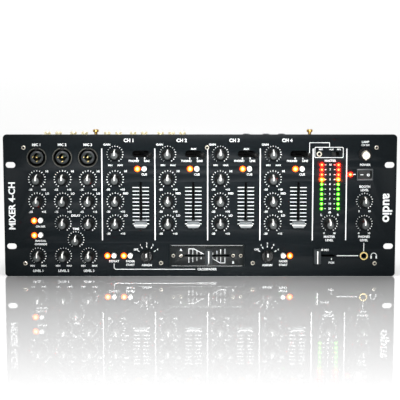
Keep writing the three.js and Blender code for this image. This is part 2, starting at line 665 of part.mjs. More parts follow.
// The board under the chassis top with every connector that stands up through it.
function connectorBoard() {
  const top = CHASSIS_TOP - SHEET - CONNECTOR_BOARD_DROP;
  const bottom = top - BOARD_THICKNESS;
  const half = CONNECTOR_BOARD_WIDTH * HALF;
  const left = Math.min(...PHONO_X) - CONNECTOR_MARGIN;
  const right = INLET_X + INLET_WIDTH * HALF + 2;
  const [d0, d1] = [CONNECTOR_DEPTH - half, CONNECTOR_DEPTH + half];
  const parts = [block(left, right, d0, d1, bottom, top)];
  const sides = CONNECTOR_SIDES;
  for (const x of PHONO_X) {
    parts.push(post(x, CONNECTOR_DEPTH, PHONO_R, bottom + HALF, PHONO_TOP, sides));
  }
  for (const x of GROUND_X) {
    const profile = [
      [0, bottom + HALF],
      [GROUND_STEM_R, bottom + HALF],
      [GROUND_STEM_R, GROUND_NUT_BOTTOM],
      [GROUND_NUT_R, GROUND_NUT_BOTTOM],
      [GROUND_NUT_R, GROUND_TOP],
      [0, GROUND_TOP],
    ];
    parts.push(upright(x, CONNECTOR_DEPTH, profile, sides));
  }
  const bores = [];
  for (const x of LINE_JACK_X) {
    const [w, l] = [LINE_JACK_CASE_WIDTH * HALF, LINE_JACK_CASE_LENGTH * HALF];
    const [near, far] = [CONNECTOR_DEPTH - l, CONNECTOR_DEPTH + l];
    parts.push(block(x - w, x + w, near, far, LINE_JACK_BOTTOM, top));
    parts.push(post(x, CONNECTOR_DEPTH, LINE_JACK_R, top - 1, LINE_JACK_TOP, sides));
    bores.push(post(x, CONNECTOR_DEPTH, JACK_BORE_R, LINE_JACK_BOTTOM + CASE_FLOOR,
      LINE_JACK_TOP + 1, sides));
  }
  const iw = INLET_WIDTH * HALF;
  const il = INLET_LENGTH * HALF;
  const [i0, i1] = [CONNECTOR_DEPTH - il, CONNECTOR_DEPTH + il];
  const rim = CHASSIS_TOP + INLET_RISE;
  parts.push(block(INLET_X - iw, INLET_X + iw, i0, i1, INLET_BOTTOM, rim));
  const wall = INLET_WALL;
  bores.push(block(INLET_X - iw + wall, INLET_X + iw - wall, i0 + wall, i1 - wall,
    INLET_BOTTOM + wall, rim + 1));
  return bores.reduce((sum, bore) => sum.subtract(bore), joined(parts));
}

// A skirted knob on its shaft, with a raised pointer on top and down the side.
function knob(x, z) {
  const body = turned(x, z, [
    [0, SHAFT_END],
    [SHAFT_R, SHAFT_END],
    [SHAFT_R, -KNOB_LIFT],
    [KNOB_BASE_R, -KNOB_LIFT],
    [KNOB_BASE_R, -KNOB_SKIRT],
    [KNOB_FOOT_R, -KNOB_SKIRT - HALF],
    [KNOB_TOP_R, -KNOB_REACH + POINTER_RISE],
    [0, -KNOB_REACH + POINTER_RISE],
  ], KNOB_SIDES);
  const half = POINTER_WIDTH * HALF;
  const reach = [-KNOB_REACH, -KNOB_SKIRT - HALF];
  return body.add(block(x - half, x + half, ...reach, z, z + KNOB_TOP_R + POINTER_RISE));
}

// An assign knob: a round skirt that narrows to a flat grip bar.
function assignKnob(x, z) {
  const body = turned(x, z, [
    [0, SHAFT_END],
    [SHAFT_R, SHAFT_END],
    [SHAFT_R, -KNOB_LIFT],
    [ASSIGN_BASE_R, -KNOB_LIFT],
    [ASSIGN_BASE_R, -ASSIGN_SKIRT],
    [ASSIGN_BASE_R - ASSIGN_TAPER, -ASSIGN_REACH],
    [0, -ASSIGN_REACH],
  ], ASSIGN_SIDES);
  const r = ASSIGN_BASE_R + 1;
  const half = ASSIGN_BAR_WIDTH * HALF;
  const cut = [-ASSIGN_REACH - 1, -ASSIGN_SKIRT, z - r, z + r];
  return body.subtract(block(x - r, x - half, ...cut)).subtract(block(x + half, x + r, ...cut));
}

// A push button: the round cap and the square plunger behind it.
function button(x, z) {
  const edge = BUTTON_EDGE;
  const cap = turned(x, z, [
    [0, BUTTON_BACK],
    [BUTTON_R, BUTTON_BACK],
    [BUTTON_R, -BUTTON_REACH + edge],
    [BUTTON_R - edge, -BUTTON_REACH],
    [0, -BUTTON_REACH],
  ], BUTTON_SIDES);
  return cap.add(blockAt(x, z, PLUNGER, PLUNGER, BUTTON_BACK - 1, PLUNGER_BACK));
}

// A fader cap: a waisted block with a ridge across its middle, on a flat stem.
// Across is along x for the channel faders and along z for the two crosswise ones.
function faderCap(x, z, width, height, upright) {
  const w = width * HALF;
  const h = height * HALF;
  const foot = w * FADER_CAP_FOOT;
  const head = w * FADER_CAP_HEAD;
  const side = [[-foot, -h], [foot, -h], [w, 0], [head, h], [-head, h], [-w, 0]];
  const outline = side.map(([a, b]) => (upright ? [x + a, z + b] : [x + b, z + a]));
  const cap = plate(outline, -FADER_CAP_REACH, -CAP_GAP);
  const shoulder = FADER_CAP_REACH - FADER_CAP_SLOPE;
  const ridge = [
    [-h - 1, 0],
    [h + 1, 0],
    [h + 1, shoulder - 1],
    [h, shoulder],
    [0.5, FADER_CAP_REACH],
    [-0.5, FADER_CAP_REACH],
    [-h, shoulder],
    [-h - 1, shoulder - 1],
  ];
  const wedge = ridgeBlock(x, z, ridge, width + 2, upright);
  const stem = upright
    ? blockAt(x, z, STEM_THICKNESS, STEM_LENGTH, -CAP_GAP - 1, STEM_BACK)
    : blockAt(x, z, STEM_LENGTH, STEM_THICKNESS, -CAP_GAP - 1, STEM_BACK);
  return cap.intersect(wedge).add(stem);
}

// A bar whose section holds [offset, distance in front], run across the fader cap.
function ridgeBlock(x, z, section, length, upright) {
  const shape = new THREE.Shape(section.map(([a, b]) => new THREE.Vector2(a, b)));
  const bar = new THREE.ExtrudeGeometry(shape, { depth: length, bevelEnabled: false });
  bar.translate(0, 0, -length * HALF);
  bar.rotateX(Math.PI);
  if (upright) bar.rotateY(Math.PI * HALF);
  bar.translate(x, 0, z);
  return solid(bar);
}

// A selector lever, leaning to the right about its pivot behind the panel.
function lever(x) {
  const profile = [
    new THREE.Vector2(0, -LEVER_HEEL),
    new THREE.Vector2(LEVER_FOOT_R, 0),
    new THREE.Vector2(LEVER_NECK_R, LEVER_FOOT_R),
    new THREE.Vector2(LEVER_NECK_R, LEVER_LENGTH - LEVER_TIP_LENGTH),
    new THREE.Vector2(LEVER_TIP_R, LEVER_LENGTH - LEVER_TIP_END),
    new THREE.Vector2(LEVER_TIP_R - LEVER_TIP_ROUND, LEVER_LENGTH),
    new THREE.Vector2(0, LEVER_LENGTH),
  ];
  const lathe = new THREE.LatheGeometry(profile, 10);
  lathe.rotateX(Math.PI);
  lathe.rotateZ(LEVER_LEAN * DEGREE);
  lathe.translate(x, LEVER_PIVOT, GAIN_Z);
  return solid(lathe);
}

// The slide switch's small knob at the left end of its window.
function auxKnob() {
  const x = AUX_WINDOW_X - AUX_TRAVEL * HALF;
  const height = AUX_WINDOW_HEIGHT - 3 * FIT;
  const cap = blockAt(x, GAIN_Z, AUX_KNOB_WIDTH, height, -AUX_KNOB_RISE, AUX_KNOB_BACK);
  const cut = [-AUX_KNOB_RISE - 1, HALF - AUX_KNOB_RISE];
  const groove = blockAt(x, GAIN_Z, AUX_KNOB_GROOVE, height + 1, ...cut);
  return cap.subtract(groove);
}

// The rocker: a shallow V in plan, tilted about its upright pivot.
function rocker() {
  const half = ROCKER_LENGTH * HALF;
  const rise = half * Math.tan(ROCKER_TILT * DEGREE);
  const section = [
    [-half, -ROCKER_FACE - rise],
    [0, -ROCKER_FACE],
    [half, -ROCKER_FACE - rise],
    [half, -ROCKER_FACE + ROCKER_EDGE],
    [0, ROCKER_DEPTH],
    [-half, -ROCKER_FACE + ROCKER_EDGE],
  ];
  const shape = new THREE.Shape(section.map(([a, b]) => new THREE.Vector2(a, b)));
  const height = ROCKER_OPENING_HEIGHT - 2 * FIT;
  const body = new THREE.ExtrudeGeometry(shape, { depth: height, bevelEnabled: false });
  body.rotateZ(-ROCKER_TILT * DEGREE);
  body.translate(RIGHT_X, ROCKER_PIVOT, ROCKER_Z - height * HALF);
  return solid(body);
}

addPiece("front_panel", frontPanel(), steelBlack);
addPiece("chassis", chassis(), steelBlack);
addPiece("crossfader_plate", crossfaderPlate(), steelBlack);
addPiece("control_board", controlBoard(), boardGreen);
addPiece("mic_socket_board", micSocketBoard(), knobBlack);
addPiece("connector_board", connectorBoard(), boardGreen);
for (const [name, x, z] of knobs) addPiece(name, knob(x, z), knobBlack);
for (const [name, x, z] of assignKnobs) addPiece(name, assignKnob(x, z), knobBlack);
for (const [name, x, z] of buttons) addPiece(name, button(x, z), buttonWhite);
const capSize = [FADER_CAP_WIDTH, FADER_CAP_HEIGHT, true];
faderX.forEach((x, i) => {
  addPiece(`channel_${i + 1}_fader`, faderCap(x, faderRestZ, ...capSize), capSilver);
});
const crossSize = [CROSS_CAP_HEIGHT, CROSS_CAP_WIDTH, false];
const crossRestX = CROSS_X + CROSS_REST_OFFSET;
addPiece("crossfader", faderCap(crossRestX, BOTTOM_ROW_Z, ...crossSize), knobBlack);
addPiece("cue_mix_fader", faderCap(cueMixRestX, BOTTOM_ROW_Z, ...crossSize), knobBlack);
leverX.forEach((x, i) => addPiece(`channel_${i + 1}_input_lever`, lever(x), knobBlack));
addPiece("aux_input_switch", auxKnob(), knobBlack);
addPiece("power_rocker", rocker(), knobBlack);

export default mixer;
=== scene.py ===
import math

import bmesh
import bpy
import numpy as np
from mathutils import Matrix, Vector


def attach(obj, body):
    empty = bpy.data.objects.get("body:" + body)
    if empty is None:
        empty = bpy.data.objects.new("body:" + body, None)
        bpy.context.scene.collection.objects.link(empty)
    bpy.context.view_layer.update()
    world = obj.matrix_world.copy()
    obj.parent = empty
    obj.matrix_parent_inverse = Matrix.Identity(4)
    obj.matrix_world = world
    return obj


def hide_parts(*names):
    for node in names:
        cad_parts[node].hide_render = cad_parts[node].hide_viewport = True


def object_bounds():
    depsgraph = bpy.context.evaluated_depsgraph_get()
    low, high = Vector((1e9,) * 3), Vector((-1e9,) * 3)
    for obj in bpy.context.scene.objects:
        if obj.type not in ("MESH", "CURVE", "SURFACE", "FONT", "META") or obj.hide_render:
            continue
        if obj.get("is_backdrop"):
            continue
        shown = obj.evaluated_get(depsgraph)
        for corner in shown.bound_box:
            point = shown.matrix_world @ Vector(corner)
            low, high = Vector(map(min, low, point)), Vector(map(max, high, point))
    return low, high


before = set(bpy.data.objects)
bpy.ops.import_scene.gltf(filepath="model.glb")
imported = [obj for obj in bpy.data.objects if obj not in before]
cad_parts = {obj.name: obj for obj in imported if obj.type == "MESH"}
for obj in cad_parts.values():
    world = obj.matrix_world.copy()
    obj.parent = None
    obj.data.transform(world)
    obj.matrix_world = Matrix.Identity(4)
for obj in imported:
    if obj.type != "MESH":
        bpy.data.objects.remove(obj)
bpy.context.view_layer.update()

# ---------------------------------------------------------------- front panel
# A 3 mm steel plate, 482.6 by 177 mm, punched for every control and finished in
# a fine matt black powder coat. It is screwed to the chassis flanges behind it.

FRONT_Y = -0.03065
WIDTH, HEIGHT, THICKNESS = 482.6, 177.0, 3.0
MIC_X = [-200.2, -168.8, -137.4]
CHANNEL_X = [-104.2, -39.6, 25.0, 89.6]
EQ_Z = [122.0, 94.4, 66.8]
SOCKET_Z, GAIN_Z, LOW_Z = 148.6, 153.0, 26.0
METER_X, RIGHT_X, CROSS_X = 159.6, 202.4, 8.7
FADER_X = [x + 31.4 for x in CHANNEL_X]
LEVER_X = [x + 31.7 for x in CHANNEL_X]
FADER_MID_Z, CUE_MIX_X = 88.6, 153.6
FADER_REST_Z = FADER_MID_Z - 22.5
LAMP_Z, ROCKER_Z, MINI_JACK_X = 152.5, 127.4, 146.1
METER_TOP_Z, METER_STEP, METER_OFFSET = 139.7, 6.07, 10.2
ASSIGN_X = [CROSS_X - 74.55, CROSS_X + 74.55]
KNOBS = {}
for i, x in enumerate(MIC_X, 1):
    KNOBS[f"mic_{i}_high_knob"] = (x, EQ_Z[0])
    KNOBS[f"mic_{i}_low_knob"] = (x, EQ_Z[1])
    if i > 1:
        KNOBS[f"mic_{i}_delay_knob"] = (x, EQ_Z[2])
    KNOBS[f"mic_{i}_level_knob"] = (x, LOW_Z)
KNOBS["mic_delay_time_knob"] = ((MIC_X[1] + MIC_X[2]) / 2, 46.5)
for i, x in enumerate(CHANNEL_X, 1):
    KNOBS[f"channel_{i}_gain_knob"] = (x, GAIN_Z)
    for word, z in zip(("high", "mid", "low"), EQ_Z):
        KNOBS[f"channel_{i}_{word}_knob"] = (x, z)
KNOBS["master_level_knob"] = (METER_X, EQ_Z[2])
KNOBS["booth_level_knob"] = (RIGHT_X, EQ_Z[1])
KNOBS["headphone_level_knob"] = (RIGHT_X, EQ_Z[2])
BUTTONS = {
    "mic_on_air_button": (-196.6, 70.2),
    "mic_override_button": (-196.6, 51.9),
    "crossfader_defeat_button": (-106.3, LOW_Z),
    "fader_start_left_button": (-86.2, LOW_Z),
    "fader_start_right_button": (103.0, LOW_Z),
}
for i, x in enumerate(CHANNEL_X, 1):
    BUTTONS[f"channel_{i}_cue_button"] = (x + 35.7, 134.6)


def linear(code):
    """An sRGB hex colour as linear RGBA: ((c + 0.055) / 1.055) ** 2.4, or c / 12.92 when dark."""
    c = np.array([int(code[i : i + 2], 16) for i in (1, 3, 5)]) / 255
    c = np.where(c > 0.04045, ((c + 0.055) / 1.055) ** 2.4, c / 12.92)
    return (*c.tolist(), 1.0)


def add(mat, kind, settings=None, inputs=None):
    """Add a node to a material, set its properties, and give inputs a value or link a socket."""
    made = mat.node_tree.nodes.new(kind)
    for key, value in (settings or {}).items():
        setattr(made, key, value)
    for key, value in (inputs or {}).items():
        fill(mat, made, key, value)
    return made


def fill(mat, made, key, value):
    """Put a value in a node's input, or link the output that is given."""
    if isinstance(value, bpy.types.NodeSocket):
        mat.node_tree.links.new(value, made.inputs[key])
    else:
        made.inputs[key].default_value = value


def material(name, color, roughness, inputs=None):
    """A material whose shader has this colour and roughness, and its object coordinates."""
    mat = bpy.data.materials.new(name)
    mat.use_nodes = True
    shader = mat.node_tree.nodes["Principled BSDF"]
    values = {"Base Color": linear(color), "Roughness": roughness, **(inputs or {})}
    for key, value in values.items():
        fill(mat, shader, key, value)
    place = add(mat, "ShaderNodeTexCoord").outputs["Object"]
    return mat, shader, add(mat, "ShaderNodeMapping", None, {"Vector": place}).outputs[0]


def mottle(mat, shader, coords, dark, light, scale, rough, bump, detail=3.0):
    """Noise of a given scale per metre varies colour and roughness and raises a fine bump."""
    noise = add(mat, "ShaderNodeTexNoise", None, {"Vector": coords, "Scale": scale, "Detail": detail})
    amount = noise.outputs["Fac"]
    mix = add(mat, "ShaderNodeMix", {"data_type": "RGBA"}, {0: amount, 6: linear(dark), 7: linear(light)})
    fill(mat, shader, "Base Color", mix.outputs[2])
    span = add(
        mat,
        "ShaderNodeMapRange",
        None,
        {"Value": amount, "From Min": 0.3, "From Max": 0.7, "To Min": rough[0], "To Max": rough[1]},
    )
    fill(mat, shader, "Roughness", span.outputs[0])
    raised = add(
        mat, "ShaderNodeBump", None, {"Height": amount, "Distance": bump, "Strength": 0.6}
    )
    fill(mat, shader, "Normal", raised.outputs[0])


def mottled(name, color, roughness, inputs, *finish):
    """A material with mottled colour, roughness and bump over its base values."""
    mat, shader, coords = material(name, color, roughness, inputs)
    mottle(mat, shader, coords, *finish)
    return mat


def circle(x, z, radius, sides=32):
    """Points of a circle: x + r cos t, z + r sin t."""
    t = np.arange(sides) * 2 * math.pi / sides
    return np.stack([x + radius * np.cos(t), z + radius * np.sin(t)], 1)


def pill(x, z, length, height, sides=12):
    """A slot outline with round ends, length along x; a height above the length stands it up."""
    r = min(length, height) / 2
    dx, dz = max(length / 2 - r, 0), max(height / 2 - r, 0)
    t = (np.arange(4 * sides) + 0.5) * math.pi / (2 * sides)
    c, s = np.cos(t), np.sin(t)
    return np.stack([x + r * c + np.sign(c) * dx, z + r * s + np.sign(s) * dz], 1)


def rounded(x, z, width, height, radius, sides=6):
    """A rectangle with round corners: quarter circles moved out to the corner centres."""
    t = (np.arange(4 * sides) + 0.5) * math.pi / (2 * sides)
    c, s = np.cos(t), np.sin(t)
    dx, dz = width / 2 - radius, height / 2 - radius
    return np.stack([x + radius * c + np.sign(c) * dx, z + radius * s + np.sign(s) * dz], 1)


def triangles(obj):
    """The corner positions (n, 3) and triangle indices (m, 3) of an object's shown mesh."""
    graph = bpy.context.evaluated_depsgraph_get()
    shown = obj.evaluated_get(graph)
    mesh = shown.to_mesh()
    points = np.empty(len(mesh.vertices) * 3)
    mesh.vertices.foreach_get("co", points)
    mesh.calc_loop_triangles()
    corners = np.empty(len(mesh.loop_triangles) * 3, np.int32)
    mesh.loop_triangles.foreach_get("vertices", corners)
    shown.to_mesh_clear()
    return points.reshape(-1, 3), corners.reshape(-1, 3)


def cut_plate(outlines, front, back, bevel=0.0):
    """A plate from closed outlines in x and z, inner ones being holes, between two depths."""
    curve = bpy.data.curves.new("outline", "CURVE")
    curve.dimensions, curve.fill_mode = "2D", "BOTH"
    curve.extrude, curve.bevel_depth = (back - front) / 2 - bevel, bevel
    curve.bevel_resolution, curve.offset = 1, -bevel
    for outline in outlines:
        spline = curve.splines.new("POLY")
        spline.points.add(len(outline) - 1)
        points = np.zeros((len(outline), 4))
        points[:, :2], points[:, 3] = outline, 1
        spline.points.foreach_set("co", points.ravel())
        spline.use_cyclic_u = True
    obj = bpy.data.objects.new("outline", curve)
    bpy.context.collection.objects.link(obj)
    points, corners = triangles(obj)
    bpy.data.objects.remove(obj)
    bpy.data.curves.remove(curve)
    middle = (front + back) / 2
    return np.stack([points[:, 0], middle - points[:, 2], points[:, 1]], 1), corners.tolist()


def together(shapes):
    """Several (points, faces) shapes as one."""
    points, faces, start = [], [], 0
    for vertices, polygons in shapes:
        points.append(np.asarray(vertices, float))
        faces += [[start + v for v in polygon] for polygon in polygons]
        start += len(vertices)
    return np.concatenate(points), faces


def piece(name, shape, mats, body="mixer", stands_for=(), ids=None, sharp=32, bevel=0):
    """One finished piece: millimetres to metres, merged, faces out, smooth up to the sharp angle."""
    points, faces = shape
    points = np.asarray(points, float) * 0.001
    points[:, 1] += FRONT_Y
    mesh = bpy.data.meshes.new(name)
    mesh.from_pydata(points.tolist(), [], faces)
    mesh.polygons.foreach_set("use_smooth", np.ones(len(mesh.polygons), bool))
    if ids is not None:
        mesh.polygons.foreach_set("material_index", np.asarray(ids, np.int32))
    work = bmesh.new()
    work.from_mesh(mesh)
    bmesh.ops.remove_doubles(work, verts=work.verts, dist=1e-7)
    bmesh.ops.recalc_face_normals(work, faces=work.faces)
    work.to_mesh(mesh)
    work.free()
    mesh.set_sharp_from_angle(angle=math.radians(sharp))
    for mat in mats:
        mesh.materials.append(mat)
    obj = bpy.data.objects.new(name, mesh)
    bpy.context.collection.objects.link(obj)
    if bevel:
        soft = obj.modifiers.new("edge", "BEVEL")
        soft.width, soft.segments, soft.limit_method = bevel * 0.001, 2, "ANGLE"
        soft.angle_limit = math.radians(40)
    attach(obj, body)
    if stands_for:
        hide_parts(*stands_for)
    return obj


# Powder coat: matt black epoxy baked on, with the fine even texture of the powder.
powder_coat = mottled(
    "powder_coat_black", "#14191b", 0.5, {"Specular IOR Level": 0.06}, "#040608", "#0e1518", 700.0,
    (0.42, 0.6), 0.00018)

openings = [rounded(0, HEIGHT / 2, WIDTH, HEIGHT, 4.5)]
for side in (-1, 1):
    for end in (-1, 1):
        openings.append(pill(side * 232.55, 88.5 + end * 50.8, 12.0, 7.4))
openings += [circle(x, SOCKET_Z, 12.2, 64) for x in MIC_X]
openings += [circle(x, z, 4.0, 20) for x, z in KNOBS.values()]
openings += [circle(x, LOW_Z, 4.0, 20) for x in ASSIGN_X]
openings += [circle(x, z, 3.7, 32) for x, z in BUTTONS.values()]
openings += [pill(x, FADER_MID_Z, 2.8, 60.0) for x in FADER_X]
openings += [pill(x, GAIN_Z, 21.0, 8.4, 16) for x in LEVER_X]
openings += [pill(CUE_MIX_X, LOW_Z, 26.6, 2.8)]
openings += [rounded(165.9, GAIN_Z, 9.8, 5.3, 0.4, 3), circle(MINI_JACK_X, GAIN_Z, 3.3)]
openings += [circle(RIGHT_X, LAMP_Z, 5.2), rounded(RIGHT_X, ROCKER_Z, 19.1, 13.4, 0.5, 3)]
openings += [circle(RIGHT_X, LOW_Z, 4.8), rounded(CROSS_X, LOW_Z, 92.6, 27.6, 0.6, 3)]
piece(
    "front_panel_plate",
    cut_plate(openings, 0, THICKNESS, 0.25),
    [powder_coat],
    stands_for=["front_panel"],
)

# ---------------------------------------------------------------- white print
# Screen-printed epoxy ink a few hundredths of a millimetre thick, baked onto the
# powder coat: dial ticks, scales, dividers and plain function words.

PRINT = 0.05


def bar(x, z, length, width, angle=0.0):
    """A flat printed bar: a rectangle turned by an angle in degrees about its middle."""
    t = math.radians(angle)
    ends = np.array([[-1, -1], [1, -1], [1, 1], [-1, 1]]) * [length / 2, width / 2]
    turn = np.array([[math.cos(t), math.sin(t)], [-math.sin(t), math.cos(t)]])
    corners = ends @ turn + [x, z]
    points = np.array([[a, d, b] for d in (-PRINT, 0.02) for a, b in corners])
    faces = [[0, 1, 2, 3], [7, 6, 5, 4]]
    faces += [[i, i + 4, (i + 1) % 4 + 4, (i + 1) % 4] for i in range(4)]
    return points, faces


def line(points, width):
    """A printed line through points: bars joined by round dots at the bends."""
    shapes = []
    for (a, b), (c, d) in zip(points, points[1:]):
        length, angle = math.hypot(c - a, d - b), math.degrees(math.atan2(d - b, c - a))
        shapes.append(bar((a + c) / 2, (b + d) / 2, length, width, angle))
    for a, b in points[1:-1]:
        shapes.append(cut_plate([circle(a, b, width / 2, 12)], -PRINT - 0.002, 0.02))
    return together(shapes)


def words(text, x, z, size, align="CENTER"):
    """Printed text in a plain sans face, its middle line at z."""
    curve = bpy.data.curves.new("words", "FONT")
    curve.body, curve.size, curve.align_x, curve.align_y = text, size * 1.16, align, "CENTER"
    curve.extrude, curve.offset = (PRINT + 0.02) / 2, size * 0.03
    curve.resolution_u = 3
    obj = bpy.data.objects.new("words", curve)
    bpy.context.collection.objects.link(obj)
    points, corners = triangles(obj)
    bpy.data.objects.remove(obj)
    bpy.data.curves.remove(curve)
    middle = (0.02 - PRINT) / 2
    placed = np.stack([x + points[:, 0], middle - points[:, 2], z + points[:, 1]], 1)
    return placed, corners.tolist()


def dial(x, z, inner, outer, widths):
    """Radial ticks from 150 degrees left of upright to 150 right, one for each width."""
    shapes = []
    for angle, width in zip(np.linspace(-150, 150, len(widths)), widths):
        t = math.radians(angle)
        middle = (inner + outer) / 2
        place = (x + middle * math.sin(t), z + middle * math.cos(t))
        shapes.append(bar(*place, outer - inner, width, 90 - angle))
    return together(shapes)


def even_dial(x, z):
    """A tone dial: seventeen ticks, bold and fine by turns."""
    return dial(x, z, 9.4, 11.0, [0.85, 0.6] * 8 + [0.85])


def rising_dial(x, z):
    """A level dial: ticks that grow bolder from the least to the most."""
    return dial(x, z, 9.1, 10.4, np.linspace(0.3, 1.0, 17))


ink = []
for x in MIC_X:
    for z in EQ_Z[:2]:
        ink += [even_dial(x, z), words("-15", x - 8.0, z - 13.4, 2.9), words("+15", x + 8.0, z - 13.4, 2.9)]
    ink += [words("HI", x + 12.4, EQ_Z[0] + 9.4, 3.0), words("LO", x + 12.4, EQ_Z[1] + 9.4, 3.0)]
    ink += [rising_dial(x, LOW_Z), words("MIN", x - 7, LOW_Z - 12.8, 2.6)]
    ink += [words("MAX", x + 7, LOW_Z - 12.8, 2.6)]
for i, x in enumerate(MIC_X, 1):
    ink += [words(f"MIC {i}", x, 164.3, 3.7), words(f"LEVEL {i}", x, 6.8, 3.4)]
for x in MIC_X[1:]:
    ink += [rising_dial(x, EQ_Z[2])]
delay_x = (MIC_X[1] + MIC_X[2]) / 2
ink += [rising_dial(delay_x, 46.5), words("DELAY", delay_x, 76.3, 3.2), words("TIME", delay_x, 59.6, 3.2)]
ink += [words("ON AIR", -196.6, 62.6, 3.0), words("MANUAL", -196.6, 44.6, 2.8)]
ink += [words("OVERRIDE", -196.6, 40.4, 2.8)]
for i, x in enumerate(CHANNEL_X, 1):
    ink += [words(f"CH {i}", x + 17.2, 169.7, 5.0), words("GAIN", x - 9.8, 164.6, 3.0)]
    ink += [rising_dial(x, GAIN_Z)]
    ink += [words("MIN", x - 5.8, 139.0, 2.6), words("MAX", x + 6.4, 139.0, 2.6)]
    for word, z in zip(("HI", "MID", "LO"), EQ_Z):
        ink += [even_dial(x, z), words(word, x + 12.8, z + 9.6, 3.1)]
        ink += [words("-30", x - 8.6, z - 13.2, 3.0), words("+10", x + 9.0, z - 13.2, 3.0)]
    a = LEVER_X[i - 1]
    ink += [bar(a - 4.7, 147.6, 2.2, 1.2, 90), bar(a + 4.7, 147.6, 2.2, 1.2, 90)]
    ink += [words("PHONO", a - 8.6, 144.3, 3.0), words("LINE", a + 7.6, 144.3, 3.0)]
    if i in (2, 3):
        ink += [words("AUX", a, 159.2, 2.8)]
    ink += [words("CUE", x + 35.7, 127.6, 3.1)]
    f = FADER_X[i - 1]
    for step in range(11):
        z = FADER_REST_Z + 4.54 * step
        ink += [bar(f - 6.0, z, 8.2, 0.85), bar(f + 6.0, z, 8.2, 0.85)]
for x in (-120.4, -55.4, 9.4, 73.9, 138.6, 179.8):
    ink += [bar(x, 102.6, 114.3, 1.25, 90)]
ink += [line([(158.6, 161.6), (158.6, 167.0), (134.2, 167.0), (134.2, 154.2)], 0.7)]
frame_outline = rounded(158.0, 155.0, 35.4, 13.4, 1.6)
frame_inside = rounded(158.0, 155.0, 34.1, 12.1, 1.2)
ink += [cut_plate([frame_outline, frame_inside], -PRINT, 0.02)]
ink += [words("MIX", 148.0, 158.6, 2.4), words("AUX", 161.0, 158.6, 2.2), words("MP3", 170.0, 158.6, 2.2)]
ink += [words("MASTER", METER_X, 144.6, 3.3)]
levels = ["10", "7", "5", "3", "0", "3", "5", "7", "10", "20"]
for step, level in enumerate(levels):
    z = METER_TOP_Z - METER_STEP * step
    ink += [words(level, METER_X, z, 2.8), bar(METER_X - 5.6, z, 1.8, 0.7), bar(METER_X + 5.6, z, 1.8, 0.7)]
ink += [words("L", METER_X - METER_OFFSET, 77.2, 3.2), words("dB", METER_X, 80.4, 2.8)]
ink += [words("R", METER_X + METER_OFFSET, 77.2, 3.2)]
for x, z in ((METER_X, EQ_Z[2]), (RIGHT_X, EQ_Z[1]), (RIGHT_X, EQ_Z[2])):
    ink += [rising_dial(x, z), words("0", x - 6.6, z - 12.6, 2.8), words("10", x + 6.0, z - 12.6, 2.8)]
ink += [words("MASTER", METER_X, 49.8, 3.3), words("LEVEL", METER_X, 45.4, 3.3)]
ink += [words("LAMP", RIGHT_X, 167.8, 3.2), words("12V 5W", RIGHT_X, 163.9, 2.6)]
ink += [words("POWER", RIGHT_X, 139.5, 3.2)]
ink += [words("BOOTH", RIGHT_X, 112.4, 3.3), words("LEVEL", RIGHT_X, 108.2, 3.3)]
ink += [words("PHONES", RIGHT_X, 49.8, 3.3), words("LEVEL", RIGHT_X, 45.4, 3.3)]
ink += [bar(189.4, 127.7, 3.2, 0.9)]
ink += [line([(RIGHT_X, 42.2), (RIGHT_X, 31.8)], 0.8), line([(169.0, LOW_Z), (195.6, LOW_Z)], 0.9)]
ink += [words("CUE MIX", 152.6, 33.2, 3.0), words("PGM", 162.6, 17.1, 3.0), bar(162.6, 21.8, 2.4, 0.9, 90)]
for x in ASSIGN_X:
    for turn, mark in zip((-60, -30, 0, 30, 60), ("OFF", "1", "2", "3", "4")):
        t = math.radians(turn)
        ink += [bar(x + 11.6 * math.sin(t), LOW_Z + 11.6 * math.cos(t), 2.4, 0.9, 90 - turn)]
        ink += [words(mark, x + 15.4 * math.sin(t), LOW_Z + 15.4 * math.cos(t), 2.7)]
    ink += [words("ASSIGN", x, 14.0, 3.2)]
ink += [words("DEFEAT", -106.3, 18.9, 3.1), words("FADER", -86.2, 18.9, 3.1)]
ink += [words("START", -86.2, 14.3, 3.1)]
ink += [words("FADER", 103.0, 18.9, 3.1), words("START", 103.0, 14.3, 3.1)]
ink += [words("CROSSFADER", CROSS_X, 8.8, 3.4)]
ink += [line([(-106.3, 16.2), (-106.3, 10.6), (-104.6, 8.9), (-6.0, 8.9)], 0.8)]

side_words = words("MIXER 4-CH", 0, 0, 9.6)
across, up = np.array(side_words[0])[:, 0], np.array(side_words[0])[:, 2]
ink += [(np.stack([-231.0 - up, side_words[0][:, 1], 88.5 + across], 1), side_words[1])]
side_words = words("audio", 0, 0, 14.0)
across, up = np.array(side_words[0])[:, 0], np.array(side_words[0])[:, 2]
ink += [(np.stack([230.2 + up, side_words[0][:, 1], 86.0 - across], 1), side_words[1])]
t = np.linspace(0, math.pi, 17)
band = [(214.8 + 3.4 * math.cos(a), 26.0 + 3.4 * math.sin(a)) for a in t]
ink += [line(band, 0.7), bar(211.6, 24.2, 3.6, 1.7, 90), bar(218.0, 24.2, 3.6, 1.7, 90)]

# Ink: white epoxy screen-printing ink, satin, a little thin where the mesh left pinholes; on the crossfader
# plate it also paints two edge highlights.
white_ink_and_edge_highlights = mottled(
    "screen_ink_white_and_edge_highlights", "#cfd2d2", 0.5, None, "#c2c5c6", "#dcdede", 2600.0, (0.42, 0.6), 0.00002)
piece("panel_print", together(ink), [white_ink_and_edge_highlights], sharp=20)

# ---------------------------------------------------------------- chassis
# A tray folded from 1.5 mm steel sheet, coated matt black, its front flanges
# screwed to the panel and its top punched for the connectors.

